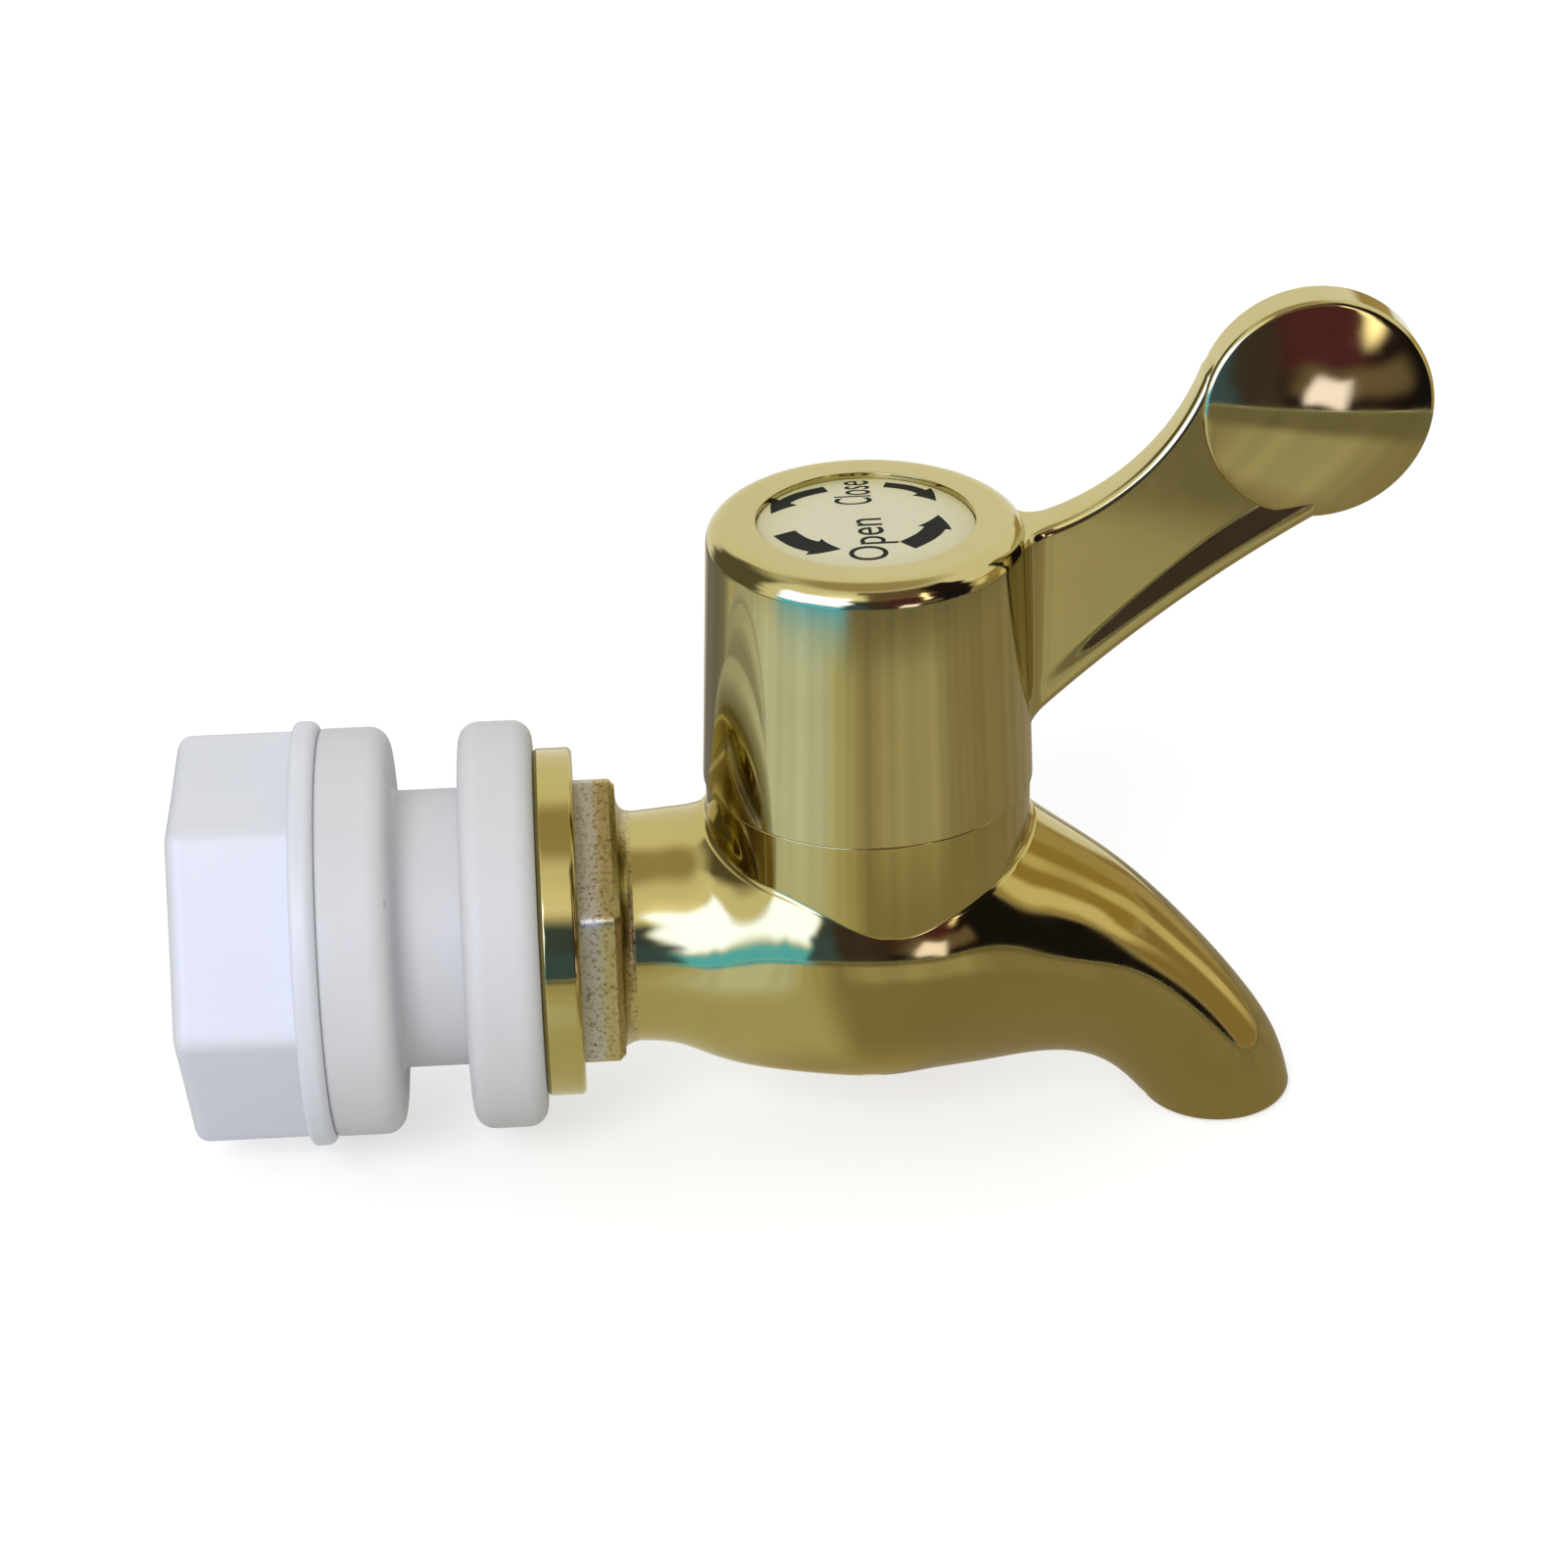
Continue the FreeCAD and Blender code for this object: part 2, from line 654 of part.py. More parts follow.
def makeBonnet():
    # cartridge bonnet: windowed skirt round the discs, threaded waist, wrench head and a nose for the clip
    body = newBody("bonnet")
    body.setExpression(".Placement.Base.x", axisX.text)
    skirtInner = d.ceramicRadius + d.ceramicClearance
    skirtOuter = skirtInner + d.skirtWall
    waist = d.threadRadius - d.threadClearance
    seat = d.threadBottom + d.bonnetSeatGap
    nose = d.spindleRadius + d.noseWall
    turned(body, "Revolution", "Z", [
        (sealTop, 0), (sealTop, skirtOuter), (seat, skirtOuter), (seat, waist), (bonnetTop, waist),
        (bonnetTop, nose), (bonnetNoseTop, nose), (bonnetNoseTop, 0)])
    head = flatHexagon(newSketch(body, "XY", z=d.collarTop), d.bonnetHeadFlats)
    pushed(body, "Pad", head, d.bonnetHeadHeight)
    # fixed stop that the lug of the stop ring meets past a quarter turn either way
    reach = d.stopWallRadius
    side = d.stopHalfAngle
    far = waist - d.stopInset
    stop = newSketch(body, "XY", z=bonnetTop - sunk)
    outline(stop, [
        (reach * cosine(side), -reach * sine(side), reach, 0), (far * cosine(side), -far * sine(side)),
        (far * cosine(side), far * sine(side), far, 0), (reach * cosine(side), reach * sine(side))])
    pushed(body, "Pad", stop, d.stopWallHeight + sunk)
    below = sealTop - overrun
    above = bonnetNoseTop + overrun
    turned(body, "Groove", "Z", [
        (below, 0), (below, skirtInner), (shoulder, skirtInner),
        (shoulder, boreRadius), (above, boreRadius), (above, 0)])
    turned(body, "Groove", "Z", grooveRing(bonnetRingHeight, waist))
    window = newSketch(body, "XY", z=movingTop - d.windowDrop)
    rectangle(window, skirtOuter + overrun, d.windowWidth / 2)
    pushed(body, "Pocket", window, d.windowHeight, reverse=True)
    return body


def makeSealRing(label, height, wall):
    # round rubber ring about the spindle's axis, inside the wall that it seals against
    body = newBody(label)
    body.setExpression(".Placement.Base.x", axisX.text)
    sketch = newSketch(body, "XZ")
    disk(sketch, d.ringSection, x=wall - d.ringClearance - d.ringSection, y=height)
    feature = body.newObject("PartDesign::Revolution", "Revolution")
    feature.Profile = sketch
    feature.ReferenceAxis = (sketch, ["V_Axis"])
    feature.Angle = 360
    body.Tip = feature
    return body


def makeSeatSeal():
    body = newBody("seat_seal")
    body.setExpression(".Placement.Base.x", axisX.text)
    turned(body, "Revolution", "Z", ring(d.chamberFloor, sealTop, d.portRadius, d.sealRadius))
    return body


def makeCeramic(label, low, slotted):
    # ceramic disc with a pair of ports; the upper one has a driving slot and shuts the lower one at rest
    body = newBody(label)
    body.setExpression(".Placement.Base.x", axisX.text)
    turned(body, "Revolution", "Z", ring(low, low + d.ceramicThickness, 0, d.ceramicRadius))
    ports = newSketch(body, "XY", z=low)
    for reach in (d.portReach, -d.portReach):
        disk(ports, d.portHole, x=0 if slotted else reach, y=reach if slotted else 0)
    pushed(body, "Pocket", ports, d.ceramicThickness, reverse=True)
    if slotted:
        slot = newSketch(body, "XY", z=low + d.ceramicThickness - d.tangThickness - d.slotClearance)
        rectangle(slot, tangHalfLength + d.slotClearance, d.tangWidth / 2 + d.slotClearance)
        pushed(body, "Pocket", slot, d.tangThickness + overrun, reverse=True)
    return body


def makeThrustWasher():
    body = newBody("thrust_washer")
    body.setExpression(".Placement.Base.x", axisX.text)
    turned(body, "Revolution", "Z", ring(footTop, footTop + d.thrustThickness, boreRadius, d.footRadius))
    return body


def makeClip():
    # snap ring that keeps the spindle in the bonnet, open towards +Y
    body = newBody("spindle_clip")
    body.setExpression(".Placement.Base.x", axisX.text)
    turned(body, "Revolution", "Z", ring(clipBottom, clipTop, d.spindleRadius - d.clipGroove, d.clipRadius))
    gap = rectangle(newSketch(body, "XY", y=d.clipRadius, z=clipBottom), d.clipGroove, d.clipRadius)
    pushed(body, "Pocket", gap, d.clipThickness, reverse=True)
    return body


def makeStopRing():
    # ring on the spindle whose lug swings between the bonnet's stops
    body = newBody("stop_ring")
    body.setExpression(".Placement.Base.x", axisX.text)
    low = clipTop + d.runningClearance
    turned(body, "Revolution", "Z", ring(low, low + d.stopThickness, d.spindleRadius, d.stopRadius))
    side = d.lugHalfAngle
    inner = d.stopRadius - sunk
    far = d.stopLug
    lug = newSketch(body, "XY", z=low)
    outline(lug, [
        (-inner * cosine(side), inner * sine(side), -inner, 0), (-far * cosine(side), far * sine(side)),
        (-far * cosine(side), -far * sine(side), -far, 0), (-inner * cosine(side), -inner * sine(side))])
    pushed(body, "Pad", lug, d.stopThickness)
    return body


pieces = [
    makeHousing(),
    makeOuterWasher(),
    makeInnerWasher(),
    makeLockNut(),
    makeHandle(),
    makeIndexDisc(),
    makeHandleScrew(),
    makeLockWasher(),
    makeSpindle(),
    makeBonnet(),
    makeSealRing("spindle_ring_lower", d.lowerRingHeight, boreRadius),
    makeSealRing("spindle_ring_upper", d.upperRingHeight, boreRadius),
    makeSealRing("bonnet_ring", bonnetRingHeight, d.threadRadius),
    makeSeatSeal(),
    makeCeramic("fixed_disc", sealTop, False),
    makeCeramic("moving_disc", fixedTop, True),
    makeThrustWasher(),
    makeClip(),
    makeStopRing(),
]
doc.recompute()

for thing in doc.Objects:
    if "Invalid" in thing.State or "Error" in thing.State:
        raise RuntimeError("%s (%s) failed: %s" % (thing.Name, thing.Label, thing.State))
for piece in pieces:
    if piece.Shape.isNull() or not piece.Shape.isValid() or len(piece.Shape.Solids) != 1:
        raise RuntimeError("%s has no single valid solid" % piece.Label)

os.makedirs("parts", exist_ok=True)
for piece in pieces:
    piece.Shape.exportStep("parts/%s.step" % piece.Label)
    print("%s %.1f mm3" % (piece.Label, piece.Shape.Volume))
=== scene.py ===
import math
import bpy
import numpy as np
from mathutils import Matrix, Vector


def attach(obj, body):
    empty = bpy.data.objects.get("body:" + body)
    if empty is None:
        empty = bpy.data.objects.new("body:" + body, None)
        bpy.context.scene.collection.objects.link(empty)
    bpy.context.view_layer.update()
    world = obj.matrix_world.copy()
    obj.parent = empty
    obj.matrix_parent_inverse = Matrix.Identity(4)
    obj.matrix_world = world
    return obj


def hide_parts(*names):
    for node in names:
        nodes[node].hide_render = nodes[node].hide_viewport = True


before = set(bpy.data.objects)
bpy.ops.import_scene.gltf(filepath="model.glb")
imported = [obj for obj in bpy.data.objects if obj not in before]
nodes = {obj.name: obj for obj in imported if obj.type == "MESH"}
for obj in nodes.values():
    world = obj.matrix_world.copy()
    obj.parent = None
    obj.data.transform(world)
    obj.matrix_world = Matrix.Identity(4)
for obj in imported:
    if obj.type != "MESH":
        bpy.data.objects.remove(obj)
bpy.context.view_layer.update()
print("frame loaded with", len(nodes), "nodes")

mm = 0.001
xAxis, yAxis, zAxis = np.eye(3)
barrelX = 29.8  # the handle's axis stands this far in front of the flange's rear face, in mm


# colours and nodes

def srgb(code):
    # an sRGB hex colour turned to linear: c / 12.92 up to 0.04045, above it ((c + 0.055) / 1.055) ^ 2.4
    parts = np.array([int(code[i:i + 2], 16) for i in (1, 3, 5)]) / 255
    linear = np.where(parts <= 0.04045, parts / 12.92, ((parts + 0.055) / 1.055) ** 2.4)
    return (*linear.tolist(), 1.0)


def joinTo(tree, node, links):
    # joins outputs to a node's inputs, given as socket: output
    for key, output in links.items():
        tree.links.new(output, node.inputs[key])


def addNode(tree, kind, settings=None, links=None):
    # one node, with its settings by property or socket and its links as socket: output
    node = tree.nodes.new("ShaderNode" + kind)
    for key, value in (settings or {}).items():
        if isinstance(key, str) and hasattr(node, key):
            setattr(node, key, value)
        else:
            node.inputs[key].default_value = value
    joinTo(tree, node, links or {})
    return node


def emptyTree(owner):
    # the node tree of a material or of the world, with nothing in it
    owner.use_nodes = True
    owner.node_tree.nodes.clear()
    return owner.node_tree


def newMaterial(name, values):
    # a Principled shader that holds the given values, with its output, and the Object coordinates
    made = bpy.data.materials.new(name)
    tree = emptyTree(made)
    shader = addNode(tree, "BsdfPrincipled", values)
    addNode(tree, "OutputMaterial", links={"Surface": shader.outputs[0]})
    place = addNode(tree, "TexCoord").outputs["Object"]
    return made, tree, shader, place


# surfaces

def roundedProfile(corners, steps=9):
    # corners are rows of (along, out, radius). A corner with a radius becomes an arc that touches its two
    # sides: its middle lies on the line that halves the corner, radius / sin(half angle) away, and the
    # arc's points turn evenly between the two places where it touches
    table = np.array(corners, float)
    points, radius = table[:, :2], table[:, 2:3]
    before = points - np.vstack([points[:1], points[:-1]])
    after = np.vstack([points[1:], points[-1:]]) - points
    back = -before / np.maximum(np.linalg.norm(before, axis=1, keepdims=True), 1e-9)
    ahead = after / np.maximum(np.linalg.norm(after, axis=1, keepdims=True), 1e-9)
    half = np.arccos(np.clip((back * ahead).sum(1, keepdims=True), -0.9999, 0.9999)) / 2
    middle = back + ahead
    middle /= np.maximum(np.linalg.norm(middle, axis=1, keepdims=True), 1e-9)
    centre = points + middle * radius / np.sin(half)
    touch = radius / np.tan(half)
    first = points + back * touch - centre
    last = points + ahead * touch - centre
    turn = np.pi - 2 * half
    share = np.linspace(0, 1, steps)
    weightFirst = np.sin((1 - share) * turn) / np.sin(turn)
    weightLast = np.sin(share * turn) / np.sin(turn)
    arcs = centre[:, None] + weightFirst[..., None] * first[:, None] + weightLast[..., None] * last[:, None]
    flat = np.broadcast_to(points[:, None], arcs.shape)
    isRound = radius > 0
    keep = isRound | (np.arange(steps)[None] == 0)
    return np.where(isRound[..., None], arcs, flat)[keep]


def ease(value):
    # 0 below 0, 1 above 1, and 3 v^2 - 2 v^3 between them
    value = np.clip(value, 0, 1)
    return value ** 2 * (3 - 2 * value)


def withSupport(profile, edge=0.12):
    # adds a point close to both ends of each long run, so that a round doesn't tilt the flat beside it
    length = np.r_[0, np.cumsum(np.linalg.norm(np.diff(profile[:, :2], axis=0), axis=1))]
    runs = np.diff(length)
    isLong = runs > 4 * edge
    where = np.unique(np.r_[length, length[:-1][isLong] + edge, length[1:][isLong] - edge])
    return np.stack([np.interp(where, length, column) for column in profile.T], 1)


def smoothThrough(stations, count):
    # a natural cubic spline through rows of numbers: between two stations the value is the straight line
    # between them plus a cubic bulge from the bending at each end, and the bendings solve the system that
    # keeps the slope continuous
    stations = np.array(stations, float)
    knots = np.r_[0, np.cumsum(np.linalg.norm(np.diff(stations[:, :2], axis=0), axis=1))]
    gaps = np.diff(knots)
    inner = np.arange(1, len(knots) - 1)
    system = np.eye(len(knots))
    system[inner, inner - 1] = gaps[:-1]
    system[inner, inner] = 2 * (gaps[:-1] + gaps[1:])
    system[inner, inner + 1] = gaps[1:]
    right = np.zeros_like(stations)
    right[1:-1] = 6 * np.diff(np.diff(stations, axis=0) / gaps[:, None], axis=0)
    bend = np.linalg.solve(system, right)
    where = np.linspace(0, knots[-1], count)
    run = np.clip(np.searchsorted(knots, where, "right") - 1, 0, len(gaps) - 1)
    a = ((knots[run + 1] - where) / gaps[run])[:, None]
    b = 1 - a
    bulge = ((a ** 3 - a) * bend[run] + (b ** 3 - b) * bend[run + 1]) * gaps[run][:, None] ** 2 / 6
    return a * stations[run] + b * stations[run + 1] + bulge


def arcThrough(start, via, end, share):
    # points on the circle through three points of a plane, at a share of the angle from the first to the
    # last: its middle is equally far from all three, and each point is middle + radius * (cos, sin)
    start, via, end = (np.array(p, float) for p in (start, via, end))
    sides = 2 * np.array([via - start, end - start])
    middle = np.linalg.solve(sides, [via @ via - start @ start, end @ end - start @ start])
    angles = np.unwrap([math.atan2(*(p - middle)[::-1]) for p in (start, via, end)])
    angle = angles[0] + share * (angles[2] - angles[0])
    return middle + np.linalg.norm(start - middle) * np.stack([np.cos(angle), np.sin(angle)], 1)


def roundAxis(profile, centre, axis, side, up, count=160, radius=None):
    # a turned surface: centre + along * axis + out * (cos a * side + sin a * up) for a whole turn of a. A
    # radius table of rows by columns takes the place of out where the section isn't a circle
    angle = np.linspace(0, 2 * np.pi, count, endpoint=False)
    out = profile[:, 1:2] if radius is None else radius
    spoke = np.cos(angle)[:, None] * side + np.sin(angle)[:, None] * up
    return np.array(centre) + profile[:, 0, None, None] * axis + out[..., None] * spoke


def roundHandleAxis(profile, count=200):
    # a shell turned about the handle's axis
    return shellOf(roundAxis(profile, (barrelX, 0, 0), zAxis, xAxis, yAxis, count))


def hexRadius(angle, apothem, softness, turn=0.0):
    # a hexagon in polar form: apothem over the p-norm of the six cosines between the angle and the flats'
    # directions; a higher softness number p gives sharper corners
    flats = np.radians(turn + 60 * np.arange(6))
    closeness = np.maximum(np.cos(angle[:, None] - flats), 0) ** softness
    return apothem / closeness.sum(1) ** (1 / softness)


def shellOf(grid, isRing=False):
    # joins a grid of points into a closed shell: columns run round, a ring's last row joins its first,
    # and any other shell is closed by a fan to the middle of its first and of its last row. The sign of
    # the volume tells which way the faces have to turn
    rows, columns = grid.shape[:2]
    index = np.arange(rows * columns).reshape(rows, columns)
    if isRing:
        index = np.vstack([index, index[:1]])
    here, there = index[:-1], index[1:]
    quads = np.stack([here, np.roll(here, -1, 1), np.roll(there, -1, 1), there], -1).reshape(-1, 4)
    points = grid.reshape(-1, 3)
    fans = np.zeros((0, 3), int)
    if not isRing:
        first, last = rows * columns, rows * columns + 1
        points = np.vstack([points, grid[0].mean(0), grid[-1].mean(0)])
        startFan = np.stack([np.full(columns, first), np.roll(index[0], -1), index[0]], -1)
        endFan = np.stack([np.full(columns, last), index[-1], np.roll(index[-1], -1)], -1)
        fans = np.vstack([startFan, endFan])
    triangles = np.vstack([quads[:, [0, 1, 2]], quads[:, [0, 2, 3]], fans])
    corner = points[triangles] - points.mean(0)
    if (corner[:, 0] * np.cross(corner[:, 1], corner[:, 2])).sum() < 0:
        quads, fans = quads[:, ::-1], fans[:, ::-1]
    return points, quads, fans


def addObject(name, data):
    # puts a mesh, a lamp or a camera into the scene
    made = bpy.data.objects.new(name, data)
    bpy.context.scene.collection.objects.link(made)
    return made


def makePiece(name, shells, body, replaced=(), sharp=38):
    # one object from (shell, material) pairs, smooth but for edges sharper than the given angle
    points, faces, picks, used, start = [], [], [], [], 0
    for (shellPoints, quads, fans), material in shells:
        if material not in used:
            used.append(material)
        points.append(shellPoints)
        faces += (quads + start).tolist() + (fans + start).tolist()
        picks.append(np.full(len(quads) + len(fans), used.index(material)))
        start += len(shellPoints)
    mesh = bpy.data.meshes.new(name)
    mesh.from_pydata(np.vstack(points) * mm, [], faces)
    for material in used:
        mesh.materials.append(material)
    mesh.polygons.foreach_set("material_index", np.concatenate(picks).astype(np.int32))
    mesh.polygons.foreach_set("use_smooth", np.ones(len(faces), bool))
    mesh.set_sharp_from_angle(angle=math.radians(sharp))
    mesh.update()
    piece = addObject(name, mesh)
    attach(piece, body)
    if replaced:
        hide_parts(*replaced)
    print("made", name, "with", len(faces), "faces")
    return piece


# materials

def addSkin(tree, shader, place, scale, detail, rough, relief):
    # a fine grain that drives the roughness between two values and the relief: its strength, its height
    # in mm
    grain = addNode(tree, "TexNoise", {"Scale": scale, "Detail": detail}, {"Vector": place}).outputs["Fac"]
    spread = addNode(tree, "MapRange", {"To Min": rough[0], "To Max": rough[1]}, {"Value": grain})
    bump = addNode(tree, "Bump", {"Strength": relief[0], "Distance": relief[1] * mm}, {"Height": grain})
    joinTo(tree, shader, {"Roughness": spread.outputs["Result"], "Normal": bump.outputs["Normal"]})
    return grain


plating = {
    # the two golds between which the plated layer drifts, for the housing and for the handle
    "body": ("#b7a866", "#c4b777"), "handle": ("#bcb177", "#c8be84"),
    "roughLow": 0.045, "roughHigh": 0.11,
    "ripple": 0.05,  # mm of the long wave that the plated layer keeps from the moulding
}


def makeGoldPlated(name, tones):
    # electroplated ABS: a bright metal skin over a polished moulding, so a mirror with a faint long wave,
    # slow drifts of tone and a haze that comes and goes over a few millimetres
    made, tree, shader, place = newMaterial(name, {"Metallic": 1.0})
    drift = addNode(tree, "TexNoise", {"Scale": 90.0, "Detail": 2.0}, {"Vector": place})  # 11 mm patches
    tone = addNode(tree, "Mix", {"data_type": "RGBA", 6: srgb(tones[0]), 7: srgb(tones[1])},
                   {0: drift.outputs["Fac"]})
    haze = addNode(tree, "TexNoise", {"Scale": 320.0, "Detail": 5.0, "Roughness": 0.6},
                   {"Vector": place})  # 3 mm haze
    rough = addNode(tree, "MapRange", {"From Min": 0.35, "From Max": 0.7, "To Min": plating["roughLow"],
                                       "To Max": plating["roughHigh"]}, {"Value": haze.outputs["Fac"]})
    wave = addNode(tree, "TexNoise", {"Scale": 140.0, "Detail": 1.0}, {"Vector": place})  # 7 mm wave
    bump = addNode(tree, "Bump", {"Strength": 0.35, "Distance": plating["ripple"] * mm},
                   {"Height": wave.outputs["Fac"]})
    joinTo(tree, shader, {"Base Color": tone.outputs[2], "Roughness": rough.outputs["Result"],
                          "Normal": bump.outputs["Normal"]})
    return made


def makeGoldMottled():
    # the same plating on the hexagon, where the layer is thin and burnt: matt and grey at the flange's
    # side, gold at the other, with fine dark pits all over
    made, tree, shader, place = newMaterial("goldPlatingMottled", {"Metallic": 1.0})
    apart = addNode(tree, "SeparateXYZ", links={0: place})
    islands = addNode(tree, "TexNoise", {"Scale": 2600.0, "Detail": 6.0, "Roughness": 0.7},
                      {"Vector": place}).outputs["Fac"]  # 0.4 mm
    ragged = addNode(tree, "Math", {"operation": "MULTIPLY_ADD", 1: 3 * mm},
                     {0: islands, 2: apart.outputs["X"]})
    mask = addNode(tree, "MapRange", {"From Min": 6.4 * mm, "From Max": 7.2 * mm},
                   {"Value": ragged.outputs[0]})
    tone = addNode(tree, "Mix", {"data_type": "RGBA", 6: srgb("#c0bba9"), 7: srgb("#bcae78")},
                   {0: mask.outputs["Result"]})
    pits = addNode(tree, "MapRange", {"From Min": 0.5, "From Max": 0.68, "To Max": 0.85}, {"Value": islands})
    dark = addNode(tree, "Mix", {"data_type": "RGBA", 7: srgb("#57482c")},
                   {0: pits.outputs["Result"], 6: tone.outputs[2]})
    rough = addNode(tree, "MapRange", {"To Min": 0.42, "To Max": 0.24}, {"Value": mask.outputs["Result"]})
    bump = addNode(tree, "Bump", {"Strength": 0.7, "Distance": 0.05 * mm}, {"Height": islands})
    joinTo(tree, shader, {"Base Color": dark.outputs[2], "Roughness": rough.outputs["Result"],
                          "Normal": bump.outputs["Normal"]})
    return made


def makePolypropylene():
    # injection-moulded polypropylene: bluish white, waxy and slightly see-through, with a soft sheen and
    # a faint flow cloud
    made, tree, shader, place = newMaterial("polypropyleneMoulded", {
        "Specular IOR Level": 0.45, "IOR": 1.49, "Subsurface Weight": 0.2,
        "Subsurface Radius": (1.0, 0.9, 0.8), "Subsurface Scale": 1.5 * mm})
    cloud = addNode(tree, "TexNoise", {"Scale": 110.0, "Detail": 3.0}, {"Vector": place})  # 9 mm flow clouds
    tone = addNode(tree, "Mix", {"data_type": "RGBA", 6: srgb("#dee1e9"), 7: srgb("#e5e7ed")},
                   {0: cloud.outputs["Fac"]})
    addSkin(tree, shader, place, 2500.0, 2.0, (0.34, 0.46), (0.12, 0.02))  # 0.4 mm tool marks
    joinTo(tree, shader, {"Base Color": tone.outputs[2]})
    return made


def makeSilicone():
    # moulded silicone rubber: milky white with a satin skin, a cloudy tone and a few grey-brown specks of
    # the dust that it holds
    made, tree, shader, place = newMaterial("siliconeMoulded", {
        "IOR": 1.41, "Subsurface Weight": 0.25, "Subsurface Radius": (1.0, 0.95, 0.9),
        "Subsurface Scale": 2.0 * mm})
    cloud = addNode(tree, "TexNoise", {"Scale": 160.0, "Detail": 4.0}, {"Vector": place})  # 6 mm clouds
    tone = addNode(tree, "Mix", {"data_type": "RGBA", 6: srgb("#d7d8da"), 7: srgb("#e0e0e1")},
                   {0: cloud.outputs["Fac"]})
    dots = addNode(tree, "TexVoronoi", {"Scale": 260.0, "Randomness": 1.0}, {"Vector": place})  # one each 4 mm
    near = addNode(tree, "MapRange", {"From Min": 0.05, "From Max": 0.1, "To Min": 0.55, "To Max": 0.0},
                   {"Value": dots.outputs["Distance"]})
    patch = addNode(tree, "TexNoise", {"Scale": 60.0, "Detail": 1.0}, {"Vector": place})  # 17 mm patches
    where = addNode(tree, "MapRange", {"From Min": 0.56, "From Max": 0.64}, {"Value": patch.outputs["Fac"]})
    speck = addNode(tree, "Math", {"operation": "MULTIPLY"},
                    {0: near.outputs["Result"], 1: where.outputs["Result"]})
    dusty = addNode(tree, "Mix", {"data_type": "RGBA", 7: srgb("#8d8378")},
                    {0: speck.outputs[0], 6: tone.outputs[2]})
    addSkin(tree, shader, place, 1800.0, 3.0, (0.5, 0.66), (0.2, 0.03))  # 0.5 mm skin
    joinTo(tree, shader, {"Base Color": dusty.outputs[2]})
    return made


def makeIndexPlastic():
    # the index disc, moulded ABS in cream: smooth, darker and yellower towards its rim
    made, tree, shader, place = newMaterial("indexDiscAbs", {"IOR": 1.53})
    centred = addNode(tree, "Mapping", {"Location": (-barrelX * mm, 0, 0)}, {"Vector": place})
    flat = addNode(tree, "VectorMath", {"operation": "MULTIPLY", 1: (1, 1, 0)}, {0: centred.outputs[0]})
    reach = addNode(tree, "VectorMath", {"operation": "LENGTH"}, {0: flat.outputs[0]})
    rim = addNode(tree, "MapRange", {"From Min": 6 * mm, "From Max": 9.3 * mm},
                  {"Value": reach.outputs["Value"]})
    tone = addNode(tree, "Mix", {"data_type": "RGBA", 6: srgb("#d9d4b0"), 7: srgb("#cfc795")},
                   {0: rim.outputs["Result"]})
    addSkin(tree, shader, place, 1500.0, 2.0, (0.28, 0.38), (0.15, 0.01))  # 0.7 mm grain
    joinTo(tree, shader, {"Base Color": tone.outputs[2]})
    return made


def makeInk():
    # pad-printed black ink: nearly black, matt, a little thinner in places
    made, tree, shader, place = newMaterial("padPrintedInk", {"Roughness": 0.6, "Specular IOR Level": 0.1})
    cover = addNode(tree, "TexNoise", {"Scale": 1200.0, "Detail": 3.0}, {"Vector": place})  # 0.8 mm
    tone = addNode(tree, "Mix", {"data_type": "RGBA", 6: srgb("#10110d"), 7: srgb("#23241c")},
                   {0: cover.outputs["Fac"]})
    joinTo(tree, shader, {"Base Color": tone.outputs[2]})
    return made


def makeTurnedMetal(name, pale, deep, groove):
    # bare turned metal: fine rings round the handle's axis from the tool, drawn 0.6 mm apart to show
    made, tree, shader, place = newMaterial(name, {"Metallic": 1.0})
    centred = addNode(tree, "Mapping", {"Location": (-barrelX * mm, 0, 0)}, {"Vector": place})
    rings = addNode(tree, "TexWave", {"wave_type": "RINGS", "rings_direction": "Z", "Scale": 530.0,
                                      "Distortion": 0.6}, {"Vector": centred.outputs[0]})
    stain = addNode(tree, "TexNoise", {"Scale": 300.0, "Detail": 4.0}, {"Vector": place})  # 3 mm stains
    tone = addNode(tree, "Mix", {"data_type": "RGBA", 6: srgb(pale), 7: srgb(deep)}, {0: stain.outputs["Fac"]})
    rough = addNode(tree, "MapRange", {"To Min": 0.2, "To Max": 0.34}, {"Value": stain.outputs["Fac"]})
    bump = addNode(tree, "Bump", {"Strength": groove, "Distance": 0.02 * mm}, {"Height": rings.outputs["Fac"]})
    joinTo(tree, shader, {"Base Color": tone.outputs[2], "Roughness": rough.outputs["Result"],
                          "Normal": bump.outputs["Normal"]})
    return made


def makeFineSolid(name, pale, deep, roughness, ior, grainSize):
    # a plain moulded or lapped solid with a fine grain, its size in mm: rubber, ceramic or acetal
    made, tree, shader, place = newMaterial(name, {"IOR": ior})
    rough = (roughness - 0.06, roughness + 0.06)
    grain = addSkin(tree, shader, place, 1 / (grainSize * mm), 4.0, rough, (0.2, 0.02))
    tone = addNode(tree, "Mix", {"data_type": "RGBA", 6: srgb(pale), 7: srgb(deep)}, {0: grain})
    joinTo(tree, shader, {"Base Color": tone.outputs[2]})
    return made


